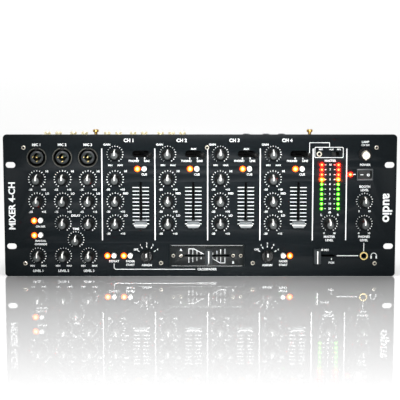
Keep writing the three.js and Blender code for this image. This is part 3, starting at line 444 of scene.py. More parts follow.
# Coated sheet: thinner, smoother black than the panel's powder.
sheet_coat = mottled(
    "sheet_coat_black", "#1d2022", 0.5, None, "#181b1c", "#232729", 900.0, (0.42, 0.58), 0.00005)
tray_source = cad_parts["chassis"]
points, corners = triangles(tray_source)
points = (points - [0, FRONT_Y, 0]) * 1000
tray = piece(
    "chassis_tray", (points, corners.tolist()), [sheet_coat], stands_for=["chassis"])
work = bmesh.new()
work.from_mesh(tray.data)
bmesh.ops.remove_doubles(work, verts=work.verts, dist=2e-6)
bmesh.ops.dissolve_limit(work, angle_limit=0.02, verts=work.verts, edges=work.edges)
work.to_mesh(tray.data)
work.free()
tray.data.set_sharp_from_angle(angle=math.radians(32))

# ---------------------------------------------------------------- crossfader plate
# A satin black steel plate over the crossfader, let into the panel and screwed
# down at its ears, so that the worn fader behind it can be changed from the front.

# Plate coat: smooth satin black enamel, sprayed and baked, on pressed steel.
plate_coat = mottled(
    "plate_coat_black", "#101314", 0.45, {"Specular IOR Level": 0.12}, "#070909", "#0f1415", 1300.0,
    (0.36, 0.5), 0.00006)
plate_holes = [rounded(CROSS_X, LOW_Z, 92.0, 27.0, 0.5, 3), pill(CROSS_X, LOW_Z, 55.8, 2.8)]
case_walls = [rounded(CROSS_X, LOW_Z, 67.8, 10.0, 0.5, 3), pill(CROSS_X, LOW_Z, 55.8, 2.8)]
shapes = [cut_plate(plate_holes, 0, 1.5, 0.15), cut_plate(case_walls, 1.5, 13.0)]
shapes += [cut_plate([rounded(CROSS_X, LOW_Z, 67.8, 10.0, 0.5, 3)], 13.0, 15.7)]
piece(
    "crossfader_cover",
    together(shapes),
    [plate_coat],
    stands_for=["crossfader_plate"],
)
crossfader_ink_and_edge_highlights = [line([(-13.8, 28.0), (-13.8, 34.6), (-7.6, 34.6), (5.0, 27.8)], 0.7)]
crossfader_ink_and_edge_highlights += [line([(30.8, 24.0), (30.8, 16.9), (25.0, 16.9), (16.3, 21.9)], 0.7)]
crossfader_ink_and_edge_highlights += [bar(-13.8, 20.6, 6.8, 0.7, 90), bar(30.8, 31.3, 6.6, 0.7, 90)]
for x, tall in ((-8.9, 6.6), (-3.8, 4.8), (1.4, 3.0)):
    crossfader_ink_and_edge_highlights += [bar(x, LOW_Z + 1.5 + tall / 2, tall, 0.6, 90)]
    crossfader_ink_and_edge_highlights += [bar(x, LOW_Z - 1.5 - tall / 2, tall, 0.6, 90)]
for x, tall in ((15.8, 2.6), (20.9, 4.6), (25.6, 6.6)):
    crossfader_ink_and_edge_highlights += [bar(x, LOW_Z + 1.5 + tall / 2, tall, 0.6, 90)]
    crossfader_ink_and_edge_highlights += [bar(x, LOW_Z - 1.5 - tall / 2, tall, 0.6, 90)]
# These two thin white lines along the plate's top and bottom edges are painted highlights, where light
# catches the edges; the rest is print.
crossfader_ink_and_edge_highlights += [bar(CROSS_X, LOW_Z + 12.9, 88.0, 0.25), bar(CROSS_X, LOW_Z - 12.9, 88.0, 0.2)]
crossfader_ink_and_edge_highlights += [words("A", -23.7, 33.2, 3.6), words("B", 41.0, 17.4, 3.6)]
piece("crossfader_print", together(crossfader_ink_and_edge_highlights), [white_ink_and_edge_highlights], sharp=20)

# ---------------------------------------------------------------- screws
# Seven M3 button-head screws hold the panel to the chassis and four the plate:
# nickel-plated, cold-headed, with a hexagon socket.


def revolve(profile, sides, ripple=None):
    """Turn [radius, depth] points about the depth axis; an end on the axis closes in one point.

    The point at ring i and angle t is (r cos t, depth, r sin t), with r scaled by ripple[i, t].
    """
    rows = np.asarray(profile, float)
    first, last = int(rows[0, 0] == 0), int(rows[-1, 0] == 0)
    rings = rows[first : len(rows) - last]
    t = np.arange(sides) * 2 * math.pi / sides
    r = rings[:, :1] * (np.ones((len(rings), sides)) if ripple is None else ripple)
    points = np.stack([r * np.cos(t), rings[:, 1:] + 0 * t, r * np.sin(t)], -1).reshape(-1, 3)
    start = np.arange(len(rings) - 1)[:, None] * sides
    j = np.arange(sides)
    k = (j + 1) % sides
    bands = np.stack([start + j, start + k, start + sides + k, start + sides + j], -1)
    faces = bands.reshape(-1, 4).tolist()
    ends = []
    if first:
        faces += np.stack([k, j, 0 * j + len(points)], 1).tolist()
        ends.append([0, rows[0, 1], 0])
    if last:
        tip = len(points) + len(ends)
        far = (len(rings) - 1) * sides
        faces += np.stack([far + j, far + k, 0 * j + tip], 1).tolist()
        ends.append([0, rows[-1, 1], 0])
    return np.concatenate([points, np.reshape(ends, (-1, 3))]), faces


def ring(profile, sides):
    """A turned ring: the closed profile never meets the axis."""
    points, faces = revolve([*profile, profile[0]], sides)
    return points, faces


def moved(shape, x, z, depth=0.0):
    """A shape shifted to x, z and depth."""
    return np.asarray(shape[0]) + [x, depth, z], shape[1]


def ids_of(shapes):
    """Material numbers: every face of the first shape 0, of the second 1, and so on."""
    return np.repeat(np.arange(len(shapes)), [len(faces) for _, faces in shapes])


def screw_head(radius, height):
    """A low domed ring and, inside it, the floor of its socket; both seat at depth 0."""
    t = np.linspace(0, math.pi / 2, 5)
    dome = [[radius * (0.68 + 0.32 * math.cos(a)), -height * math.sin(a)] for a in t]
    inner = radius * 0.62
    shell = ring([[inner, 0.3], [radius, 0.3], *dome, [inner, -height], [inner, -height * 0.5]], 28)
    seat = revolve([[0, 0.35], [inner * 1.02, 0.35], [inner * 1.02, -0.05], [0, -0.05]], 6)
    return shell, seat


# Each socket floor is drawn in the black material: painted shade in the screw's recess.
def screw_set(name, places, radius, height):
    """The same screw at every place, as one piece."""
    shapes = [moved(s, x, z) for x, z in places for s in screw_head(radius, height)]
    mats = np.repeat([0, 1] * len(places), [len(faces) for _, faces in shapes])
    piece(name, together(shapes), [nickel, black_parts_and_recess_shade], ids=mats)


# Black: blackened metal and black plastic parts, and the floor of each nickel screw's socket, painted black
# as the shade in that recess.
black_parts_and_recess_shade = mottled(
    "black_parts_and_socket_shade", "#070707", 0.5, {"Specular IOR Level": 0.12}, "#050505", "#0a0a0a", 1500.0,
    (0.45, 0.6), 0.00001)
# Nickel: bright plate, slightly warm, over turned or cold-headed steel and brass.
nickel = mottled(
    "nickel_plate", "#d8d2c2", 0.28, {"Metallic": 0.75}, "#c8c0ae", "#e6e1d4", 1800.0, (0.2, 0.4),
    0.00002)
PANEL_SCREWS = [(-216, 161), (8.7, 161), (216, 161), (-216, 16.5), (-48.2, 16.8), (65.2, 16.8), (216, 16.5)]
screw_set("panel_screws", PANEL_SCREWS, 2.6, 1.2)
screw_set("plate_screws", [(CROSS_X + x, LOW_Z) for x in (-41.7, -32.3, 32.3, 41.7)], 2.2, 1.0)

# ---------------------------------------------------------------- knobs
# Skirted knobs moulded in satin black plastic, fluted for grip, pushed onto the
# potentiometers' shafts, with a white pointer inlaid and a grey top disc: painted highlight where light
# falls on the black top.


def prism(section, half_width):
    """A bar whose section is given in z and depth, centred on x."""
    section = np.asarray(section, float)
    n = len(section)
    near = np.stack([np.full(n, -half_width), section[:, 1], section[:, 0]], 1)
    far = near * [-1, 1, 1]
    faces = [list(range(n)), list(range(2 * n - 1, n - 1, -1))]
    faces += [[i, n + i, n + (i + 1) % n, (i + 1) % n] for i in range(n)]
    return np.concatenate([near, far]), faces


# Knob plastic: black ABS, injection moulded with a satin surface.
knob_plastic = mottled(
    "knob_plastic_black", "#0c0d0d", 0.4, {"Specular IOR Level": 0.22}, "#060707", "#0c0d0d", 1400.0,
    (0.34, 0.48), 0.00003)
# Top disc: painted highlight, dark grey on the black knob's top where the light from above falls; matt.
knob_top_painted_highlight = mottled(
    "knob_disc_grey", "#303434", 0.5, None, "#2b2f2f", "#373b3b", 1700.0, (0.44, 0.58), 0.00002)
# Pointer: white ABS, moulded in a second shot through the black.
pointer_white = mottled(
    "pointer_inlay_white", "#f2f2ef", 0.4, None, "#e9e9e5", "#f8f8f5", 1500.0, (0.35, 0.5), 0.00001)

knob_profile = [[0, 12], [3, 12], [3, -0.8], [6.5, -0.8], [6.95, -1.2], [6.95, -1.9], [6.6, -2.4]]
knob_profile += [[5.9, -2.7], [5.7, -3.4], [5.5, -6.5], [5.25, -10.5], [5.0, -14.4], [4.8, -15.2]]
knob_profile += [[4.5, -15.55], [4.2, -15.6], [4.15, -15.2], [0, -15.2]]
flutes = np.ones((len(knob_profile) - 2, 72))
flutes[8:11] -= 0.045 * (0.5 + 0.5 * np.cos(np.arange(72) * 2 * math.pi * 18 / 72))
knob_body = revolve(knob_profile, 72, flutes)
# The grey top disc is painted highlight: the light falling on the knob's black top.
knob_disc = revolve([[0, -15.1], [4.1, -15.1], [4.1, -15.42], [4.0, -15.48], [0, -15.4]], 40)
knob_pointer = prism(
    [[0.2, -15.3], [0.2, -15.62], [4.7, -15.75], [5.15, -15.3], [6.0, -3.3], [5.2, -3.3], [4.3, -15.2]], 0.7
)
for name, (x, z) in KNOBS.items():
    shapes = [moved(s, x, z) for s in (knob_body, knob_disc, knob_pointer)]
    piece(
        name + "_moulding",
        together(shapes),
        [knob_plastic, knob_top_painted_highlight, pointer_white],
        body=name,
        stands_for=[name],
        ids=ids_of(shapes),
        sharp=50,
    )

# The two assign knobs are bar knobs: a round skirt under a tapered grip.
skirt = revolve(
    [[0, 12], [3, 12], [3, -0.8], [7.4, -0.8], [7.8, -1.3], [7.6, -4.2], [7.0, -5.0], [0, -5.2]], 48)
grip_low = np.array([[-3.4, -4.6, -7.3], [3.4, -4.6, -7.3], [3.4, -4.6, 7.3], [-3.4, -4.6, 7.3]])
grip_high = np.array([[-2.5, -14.5, -4.2], [2.5, -14.5, -4.2], [2.5, -14.5, 6.2], [-2.5, -14.5, 6.2]])
grip_faces = [[0, 1, 2, 3], [7, 6, 5, 4]] + [[i, i + 4, (i + 1) % 4 + 4, (i + 1) % 4] for i in range(4)]
grip = (np.concatenate([grip_low, grip_high]), grip_faces)
mark = prism([[1.2, -14.3], [1.2, -14.75], [5.6, -14.75], [5.6, -14.3]], 0.65)
for name, x in zip(("left", "right"), ASSIGN_X):
    shapes = [moved(s, x, LOW_Z) for s in (skirt, grip)]
    knob = f"crossfader_assign_{name}_knob"
    piece(
        knob + "_moulding", together(shapes), [knob_plastic], body=knob, stands_for=[knob],
        bevel=0.5)
    piece(knob + "_pointer", moved(mark, x, LOW_Z), [pointer_white], body=knob)

# ---------------------------------------------------------------- push buttons
# White moulded caps that stand in round holes and press a switch on the board.

# Button plastic: white ABS, injection moulded.
button_plastic = mottled(
    "button_plastic_white", "#f0f0ee", 0.38, None, "#e6e6e3", "#f6f6f4", 1500.0, (0.32, 0.46), 0.00001)
cap = [[0, 11.2], [1.2, 11.2], [1.2, 8], [3.05, 8], [3.05, -1.7], [2.9, -2.2], [2.4, -2.55], [0, -2.7]]
for name, (x, z) in BUTTONS.items():
    piece(
        name + "_cap", moved(revolve(cap, 40), x, z), [button_plastic], body=name, stands_for=[name])

# ---------------------------------------------------------------- indicator lamps
# Clear-lensed light-emitting diodes pushed through the panel, glowing from the die
# at the middle outwards.


def glow(name, core, half, rim, power):
    """A lit lens: core, half-way and rim colours along the piece's own 'reach' attribute."""
    mat, shader, coords = material(name, rim, 0.25)
    reach = add(mat, "ShaderNodeAttribute", {"attribute_name": "reach"}).outputs["Fac"]
    noise = add(mat, "ShaderNodeTexNoise", None, {"Vector": coords, "Scale": 1500.0})
    wave = add(
        mat, "ShaderNodeMath", {"operation": "MULTIPLY_ADD"},
        {0: noise.outputs["Fac"], 1: 0.1, 2: reach})
    ramp = add(mat, "ShaderNodeValToRGB", None, {"Fac": wave.outputs[0]})
    stops = ramp.color_ramp.elements
    stops.new(0.65)
    for stop, place, color in zip(stops, (0.3, 0.62, 1.0), (core, half, rim)):
        stop.position = place
        stop.color = linear(color)
    fill(mat, shader, "Emission Color", ramp.outputs["Color"])
    fill(mat, shader, "Emission Strength", power)
    return mat


def lens(name, places, radius, mat, rise=1.0):
    """Domed lenses at the places given, each with its 'reach' from middle 0 to rim 1."""
    t = np.linspace(0, math.pi / 2, 6)
    profile = [[0, 4.0], [radius * 0.8, 4.0], [radius * 0.8, 0.02], [radius, 0.02]]
    profile += [[radius * math.cos(a), -0.1 - rise * radius * math.sin(a)] for a in t[:-1]]
    profile += [[0, -0.1 - rise * radius]]
    one = revolve(profile, 24)
    obj = piece(name, together([moved(one, x, z) for x, z in places]), [mat])
    points = np.empty(len(obj.data.vertices) * 3)
    obj.data.vertices.foreach_get("co", points)
    across = points.reshape(-1, 3)[:, [0, 2]] * 1000
    away = np.linalg.norm(across[:, None] - np.array(places)[None], axis=2).min(1) / radius
    obj.visible_shadow = False
    reach = obj.data.attributes.new("reach", "FLOAT", "POINT")
    reach.data.foreach_set("value", away.astype(np.float32))
    return obj


def spill(name, places, color, power):
    """The light that lit lenses throw on the panel round them, power in watts each."""
    for i, (x, z) in enumerate(places, 1):
        lamp = bpy.data.lights.new(f"{name}_{i}", "SPOT")
        lamp.color = linear(color)[:3]
        lamp.energy = power
        lamp.spot_size = math.radians(124)
        lamp.spot_blend = 1.0
        lamp.shadow_soft_size = 0.0008
        obj = bpy.data.objects.new(f"{name}_{i}", lamp)
        obj.location = (x * 0.001, FRONT_Y - 0.0042, z * 0.001)
        obj.rotation_euler = (math.radians(90), 0, 0)
        obj.visible_camera = False
        obj.visible_glossy = False
        bpy.context.collection.objects.link(obj)


# Lit diodes: clear epoxy cast over the die, which glows through it.
amber_glow = glow("led_amber_lit", "#fffbd8", "#ffc828", "#ff5208", 1.5)
red_glow = glow("led_red_lit", "#fff27a", "#ff7a20", "#f81408", 1.8)
green_glow = glow("led_green_lit", "#fbffc8", "#a0f030", "#3ab808", 1.3)
AMBER = [(-204.4, 70.1), (-204.4, 51.7), (-114.4, LOW_Z), (-94.2, LOW_Z), (111.2, LOW_Z)]
AMBER += [(x + 27.4, 134.6) for x in CHANNEL_X]
lens("amber_lamps", AMBER, 3.7, amber_glow, 0.5)
lens("power_lamp", [(184.4, 127.7)], 3.0, red_glow, 0.6)
rows = [METER_TOP_Z - METER_STEP * step for step in range(10)]
both = [METER_X - METER_OFFSET, METER_X + METER_OFFSET]
METER_RED = [(x, z) for x in both for z in rows[:3]]
METER_AMBER = [(x, rows[3]) for x in both]
METER_GREEN = [(x, z) for x in both for z in rows[4:]]
lens("meter_lamps_red", METER_RED, 2.2, red_glow, 0.6)
lens("meter_lamps_amber", METER_AMBER, 2.6, amber_glow, 0.6)
lens("meter_lamps_green", METER_GREEN, 2.0, green_glow, 0.6)
spill("red_spill", METER_RED + [(184.4, 127.7)], "#ff1006", 0.16)
spill("amber_spill", METER_AMBER, "#ff4a06", 0.22)
spill("button_spill", AMBER, "#ff4206", 0.04)
spill("green_spill", METER_GREEN, "#50ff08", 0.008)

# ---------------------------------------------------------------- faders
# Moulded caps pushed onto the faders' flat steel stems: silver-painted wings with a
# raised white line on the channels, the upper half painted darker as shade; tall black ones crosswise.


def hull(points):
    """The convex solid round a set of points."""
    work = bmesh.new()
    for point in points:
        work.verts.new(point)
    found = bmesh.ops.convex_hull(work, input=work.verts)
    loose = [v for v in found["geom_interior"] if isinstance(v, bmesh.types.BMVert)]
    bmesh.ops.delete(work, geom=loose, context="VERTS")
    bmesh.ops.dissolve_limit(work, angle_limit=0.01, verts=work.verts, edges=work.edges)
    work.verts.index_update()
    shape = np.array([v.co for v in work.verts]), [[v.index for v in f.verts] for f in work.faces]
    work.free()
    return shape


def block(x0, x1, d0, d1, z0, z1):
    """A plain block between low and high x, depth and z."""
    corners = [(a, b, c) for a in (x0, x1) for b in (d0, d1) for c in (z0, z1)]
    faces = [[0, 1, 3, 2], [4, 6, 7, 5], [0, 4, 5, 1], [2, 3, 7, 6], [0, 2, 6, 4], [1, 5, 7, 3]]
    return np.array(corners, float), faces


# Silver paint: aluminium-flake lacquer sprayed on the moulded cap.
silver_paint = mottled(
    "cap_paint_silver", "#7e8284", 0.38, {"Metallic": 0.35}, "#747879", "#8a8e90", 1800.0, (0.3, 0.46),
    0.00002)
# Upper half: the same silver lacquer, painted darker as shade on the cap's upward faces.
cap_upper_painted_shade = mottled(
    "cap_silver_painted_shade", "#3b4042", 0.4, {"Metallic": 0.3}, "#34393b", "#434849", 1800.0, (0.34, 0.48),
    0.00002)
# Stem steel: stamped and nickel-flashed, left bare.
stem_steel = mottled(
    "stem_steel", "#8b8d8e", 0.35, {"Metallic": 1.0}, "#7c7e7f", "#9a9c9d", 2200.0, (0.28, 0.45),
    0.00002)
W, H = 8.0, 4.5
upper = hull([(a, d, b) for d, a, b in (
    (-0.9, W * 0.96, 0.2), (-0.9, -W * 0.96, 0.2), (-0.9, W * 0.9, H), (-0.9, -W * 0.9, H),
    (-10.7, W, 0.2), (-10.7, -W, 0.2), (-8.8, W * 0.9, H), (-8.8, -W * 0.9, H))])
lower = hull([(a, d, b) for d, a, b in (
    (-0.9, W * 0.96, 0.2), (-0.9, -W * 0.96, 0.2), (-0.9, W * 0.74, -H), (-0.9, -W * 0.74, -H),
    (-10.7, W, 0.2), (-10.7, -W, 0.2), (-8.4, W * 0.76, 0.8 - H), (-8.4, -W * 0.76, 0.8 - H))])
ridge = block(-W, W, -11.0, -10.2, -0.55, 0.75)
stem = block(-0.8, 0.8, -1.5, 12, -2.5, 2.5)
# The upper half of each cap takes the darker copy of the lacquer: painted shade.
for i, x in enumerate(FADER_X, 1):
    z = FADER_REST_Z
    name = f"channel_{i}_fader"
    shapes = [moved(s, x, z) for s in (upper, lower, ridge, stem)]
    piece(name + "_cap", together(shapes), [cap_upper_painted_shade, silver_paint, pointer_white, stem_steel],
          body=name, stands_for=[name], ids=ids_of(shapes), bevel=0.25)

# Charcoal plastic: dark grey ABS, injection moulded.
charcoal = mottled(
    "cap_plastic_charcoal", "#2a2e30", 0.36, None, "#24282a", "#33383a", 1500.0, (0.3, 0.45), 0.00002)
tall = hull([(a, d, b) for d, a, b in (
    (-0.9, 4.3, 8.85), (-0.9, -4.3, 8.85), (-0.9, 4.3, -8.85), (-0.9, -4.3, -8.85),
    (-8.8, 4.2, 8.6), (-8.8, -4.2, 8.6), (-8.8, 4.2, -8.6), (-8.8, -4.2, -8.6),
    (-10.9, 0.7, 8.2), (-10.9, -0.7, 8.2), (-10.9, 0.7, -8.2), (-10.9, -0.7, -8.2))])
white_line = block(-0.6, 0.6, -11.0, -10.4, -8.0, 8.0)
cross_stem = block(-2.5, 2.5, -1.5, 12, -0.8, 0.8)
for name, x in (("crossfader", CROSS_X + 2), ("cue_mix_fader", CUE_MIX_X - 9)):
    shapes = [moved(s, x, LOW_Z) for s in (tall, white_line, cross_stem)]
    piece(name + "_cap", together(shapes), [charcoal, pointer_white, stem_steel],
          body=name, stands_for=[name], ids=ids_of(shapes), bevel=0.3)

# ---------------------------------------------------------------- selector levers
# Turned black levers with a bat-shaped tip, pivoted in switches on the board and
# resting at the right-hand end of their slots.

lean = math.radians(28)
bat = [[0, -27], [1.6, -26.8], [2.5, -26.0], [2.9, -24.6], [2.8, -22], [2.2, -18], [1.7, -14]]
bat += [[1.5, -4], [2.2, -1.5], [2.2, 0.6], [1.4, 1.8], [0, 2.0]]
points, faces = revolve(bat, 32)
turned = np.stack([
    points[:, 0] * math.cos(lean) - points[:, 1] * math.sin(lean),
    points[:, 0] * math.sin(lean) + points[:, 1] * math.cos(lean),
    points[:, 2]], 1)
for i, x in enumerate(LEVER_X, 1):
    name = f"channel_{i}_input_lever"
    piece(
        name + "_bat", moved((turned, faces), x, GAIN_Z, 13), [knob_plastic], body=name,
        stands_for=[name])

# ---------------------------------------------------------------- slide switch and rocker
# A small slide switch in the auxiliary box, and the mains rocker in its snap-in frame.

knob = block(161.6, 166.2, -1.4, 8, GAIN_Z - 2.2, GAIN_Z + 2.2)
ribs = [block(163.3 + a, 163.7 + a, -1.7, -1.2, GAIN_Z - 2.1, GAIN_Z + 2.1) for a in (-1.2, 0, 1.2)]
piece("aux_switch_knob", together([knob, *ribs]), [knob_plastic], body="aux_input_switch",
      stands_for=["aux_input_switch"], bevel=0.15)

# Gloss plastic: black nylon from a polished mould.
gloss_plastic = mottled(
    "gloss_plastic_black", "#0e0f10", 0.2, None, "#0c0d0e", "#141516", 900.0, (0.15, 0.26), 0.00001)
tilt = math.radians(-9)
half, drop = 7.5, 7.5 * math.tan(math.radians(9))
section = [[-half, -4.4 - drop], [0, -4.4], [half, -4.4 - drop]]
section = np.array([*section, [half, -1.4], [0, 3.4], [-half, -1.4]])
section = np.stack([
    section[:, 0] * math.cos(tilt) - section[:, 1] * math.sin(tilt),
    section[:, 0] * math.sin(tilt) + section[:, 1] * math.cos(tilt)], 1) + [0, 3.4]
near = np.concatenate([section, np.full((6, 1), -5.0)], 1)
rocker_faces = [list(range(6)), list(range(11, 5, -1))]
rocker_faces += [[i, 6 + i, 6 + (i + 1) % 6, (i + 1) % 6] for i in range(6)]
rocker = (np.concatenate([near, near * [1, 1, -1]]), rocker_faces)
marks_at = []
off_ring = cut_plate([circle(0, 0, 1.7, 24), circle(0, 0, 0.8, 24)], -PRINT, 0.02)
for x0, shape in ((-3.9, bar(0, 0, 3.4, 0.9)), (3.9, off_ring)):
    face = np.interp(x0, section[:3, 0], section[:3, 1])
    first, second = section[:2] if x0 < section[1, 0] else section[1:3]
    slope = (second[1] - first[1]) / (second[0] - first[0])
    p = np.asarray(shape[0])
    marks_at.append((np.stack([x0 + p[:, 0], face + slope * p[:, 0] + p[:, 1], p[:, 2]], 1), shape[1]))
piece("power_rocker_key", moved(rocker, RIGHT_X, ROCKER_Z), [gloss_plastic], body="power_rocker",
      stands_for=["power_rocker"], bevel=0.4)
piece(
    "power_rocker_marks", moved(together(marks_at), RIGHT_X, ROCKER_Z), [white_ink_and_edge_highlights],
    body="power_rocker", sharp=20)
bezel = cut_plate(
    [rounded(RIGHT_X, ROCKER_Z, 19.5, 14.4, 1.0), rounded(RIGHT_X, ROCKER_Z, 17.0, 10.6, 0.4, 3)], -1.2,
    0.0, 0.3)
shaft = cut_plate(
    [rounded(RIGHT_X, ROCKER_Z, 18.5, 12.8, 0.5, 3), rounded(RIGHT_X, ROCKER_Z, 17.0, 10.6, 0.4, 3)],
    -0.3, 12)
piece(
    "power_rocker_frame", together([bezel, shaft]), [charcoal, knob_plastic],
    ids=ids_of([bezel, shaft]))

# ---------------------------------------------------------------- microphone sockets
# Combined sockets: a die-cast shell with a latch tab, a black groove for the plug's
# shell, and a grey core with a clover-shaped opening and gilt contacts.

# Socket black: glass-filled nylon, injection moulded.
shell_black = mottled(
    "socket_shell_black", "#090a0a", 0.38, {"Specular IOR Level": 0.25}, "#070808", "#101111", 1200.0,
    (0.28, 0.44), 0.00002)
# Rim: zinc die casting with a dark nickel plate.
rim_grey = mottled(
    "socket_rim_grey", "#34342f", 0.42, {"Metallic": 0.4}, "#2d2d28", "#3e3e38", 1500.0, (0.32, 0.5),
    0.00003)
# Core: graphite-grey glass-filled nylon.
core_grey = mottled(
    "socket_core_graphite", "#141819", 0.45, {"Specular IOR Level": 0.2}, "#101415", "#1a1f21", 1500.0,
    (0.38, 0.52), 0.00003)
# Gilt: thin gold plate over brass.
gilt = mottled(
    "contact_gilt", "#efd488", 0.3, {"Metallic": 0.7}, "#e4c56e", "#f6e0a0", 1800.0, (0.24, 0.38),
    0.00001)


def clover(x, z, sides=72):
    """The core's opening: a circle that swells towards four sides, r = 4.4 + 1.1 cos^2 2t."""
    t = np.arange(sides) * 2 * math.pi / sides
    r = 4.4 + 1.1 * np.cos(2 * t) ** 2
    return np.stack([x + r * np.cos(t), z + r * np.sin(t)], 1)


for i, x in enumerate(MIC_X, 1):
    rim = ring([[11.0, 0.6], [12.15, 0.6], [12.15, -0.2], [11.9, -0.5], [11.2, -0.5], [11.0, -0.2]], 72)
    barrel = ring([[10.8, 0.3], [11.8, 0.3], [11.8, 26], [3.4, 26], [3.4, 24.5], [10.8, 14.2]], 64)
    core = cut_plate([circle(x, SOCKET_Z, 8.1, 64), clover(x, SOCKET_Z)], 0.8, 13.5, 0.3)
    tab = block(x - 2.6, x + 2.6, -0.9, 3.0, SOCKET_Z + 9.6, SOCKET_Z + 12.4)
    fork = block(x - 1.3, x + 0.2, 3.0, 12.0, SOCKET_Z - 0.9, SOCKET_Z + 0.4)
    left = block(x - 5.6, x - 4.6, 0.7, 9.0, SOCKET_Z - 0.1, SOCKET_Z + 0.9)
    low = block(x - 0.8, x + 0.8, 0.7, 9.0, SOCKET_Z - 5.4, SOCKET_Z - 4.6)
    shapes = [moved(rim, x, SOCKET_Z), moved(barrel, x, SOCKET_Z), core, tab, together([fork, left, low])]
    piece(f"mic_socket_{i}", together(shapes), [rim_grey, black_parts_and_recess_shade, core_grey, black_parts_and_recess_shade, gilt],
          stands_for=["mic_socket_board"] if i == 1 else (),
          ids=ids_of(shapes), sharp=40)

# ---------------------------------------------------------------- lamp socket and jacks
# A bayonet lamp socket in a black insulating bush, the headphone jack with its gilt
# ring nut and the mini jack with a nickel ring, all nutted to the panel.

bush = revolve([[0, 0.0], [8.2, 0.0], [8.2, -1.0], [7.7, -1.6], [5.4, -1.6], [5.3, -0.4], [0, -0.4]], 64)
shell = revolve(
    [[0, 5], [4.9, 5], [4.9, -9.5], [4.7, -10], [4.2, -10], [4.1, -9.7], [4.1, -1.2], [0, -1.2]], 48)
lugs = [block(-0.9, 0.9, -8.6, -7.0, s * 5.3 - 0.5, s * 5.3 + 0.5) for s in (-1, 1)]
insulator = revolve([[0, -1.2], [4.0, -1.2], [4.0, -9.3], [1.3, -9.5], [1.2, -9.0], [0, -9.0]], 32)
pin = revolve([[0, -8.6], [0.8, -8.6], [0.8, -9.5], [0, -9.8]], 16)
# White insulator: turned from fluoropolymer rod.
ptfe = mottled("ptfe_white", "#e4e0d2", 0.45, None, "#d9d4c4", "#eeebdf", 1500.0, (0.4, 0.52), 0.00001)
shapes = [moved(s, RIGHT_X, LAMP_Z) for s in (bush, together([shell, *lugs]), insulator, pin)]
piece(
    "lamp_socket", together(shapes), [black_parts_and_recess_shade, nickel, ptfe, gilt],
    ids=ids_of(shapes))
nut = ring([[3.55, 0.0], [4.95, 0.0], [5.0, -0.6], [4.9, -2.0], [4.6, -2.3], [3.8, -2.3], [3.55, -1.9]], 48)
sleeve = ring([[3.2, -1.6], [4.4, -1.6], [4.4, 14], [3.2, 14]], 40)
floor_cap = revolve([[0, 12.8], [4.2, 12.8], [4.2, 14.5], [0, 14.5]], 24)
shapes = [moved(nut, RIGHT_X, LOW_Z), moved(together([sleeve, floor_cap]), RIGHT_X, LOW_Z)]
piece("headphone_jack", together(shapes), [gilt, shell_black], ids=ids_of(shapes))
nut = ring([[1.9, 0.0], [3.2, 0.0], [3.2, -0.8], [2.9, -1.2], [2.1, -1.2], [1.9, -0.9]], 40)
sleeve = ring([[1.8, -0.8], [2.8, -0.8], [2.8, 12], [1.8, 12]], 32)
shapes = [moved(nut, MINI_JACK_X, GAIN_Z), moved(sleeve, MINI_JACK_X, GAIN_Z)]
piece("mini_jack", together(shapes), [nickel, shell_black], ids=ids_of(shapes))

# ---------------------------------------------------------------- boards behind the panel
# The control board of green glass epoxy stands behind the panel and carries every
# potentiometer, fader and switch in its black case; a strip carries the mic sockets.

# Case plastic: matt black phenolic of the controls' cases.
case_black = mottled(
    "case_plastic_black", "#020202", 0.6, {"Specular IOR Level": 0.03}, "#010101", "#040404", 900.0,
    (0.5, 0.65), 0.00003)
# Solder resist: green lacquer over glass epoxy.
board_green = mottled(
    "solder_resist_green", "#123222", 0.4, None, "#0f2a1d", "#173d2a", 700.0, (0.34, 0.5), 0.00002)


def board_copy(name, node, split, keep_behind):
    """A merged copy of a board's node: faces nearer than the split depth are its cases."""
    points, corners = triangles(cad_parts[node])
    points = (points - [0, FRONT_Y, 0]) * 1000
    nearest = points[corners][:, :, 1].min(1)
    obj = piece(name, (points, corners.tolist()), [board_green, case_black], stands_for=[node],
                ids=nearest < split, sharp=30)
    work = bmesh.new()
    work.from_mesh(obj.data)
    bmesh.ops.remove_doubles(work, verts=work.verts, dist=2e-6)
    limit = FRONT_Y + keep_behind * 0.001
    cut = bmesh.ops.bisect_plane(
        work, geom=[*work.verts, *work.edges, *work.faces], plane_co=(0, limit, 0),
        plane_no=(0, -1, 0), clear_outer=True)
    rim = [e for e in cut["geom_cut"] if isinstance(e, bmesh.types.BMEdge)]
    bmesh.ops.holes_fill(work, edges=rim)
    work.to_mesh(obj.data)
    work.free()
    return obj


board_copy("control_board_with_cases", "control_board", 15.9, 4.9)
strip = block(MIC_X[0] - 12.4, MIC_X[2] + 12.4, 26, 27.6, SOCKET_Z - 12, SOCKET_Z + 12)
piece("mic_socket_strip", strip, [board_green])

# ---------------------------------------------------------------- connectors on top
# Eleven gilt phono sockets, two brass ground posts, three line jacks and the mains
# inlet stand on their own board and come up through the chassis top.

CONNECTOR_DEPTH, INLET_X, top = 42.0, 196, 154.5
LINE_JACK_X, GROUND_X = (58.2, 82.8, 102.3), (-130.7, 137.6)
CHASSIS_TOP, CHASSIS_HALF, CHASSIS_BACK = 165, 219, 77.3


def standing(shape, x, depth=CONNECTOR_DEPTH):
    """A turned shape stood upright: its depth values become heights above the base."""
    points = np.asarray(shape[0])
    return np.stack([x + points[:, 0], depth + points[:, 2], points[:, 1]], 1), shape[1]


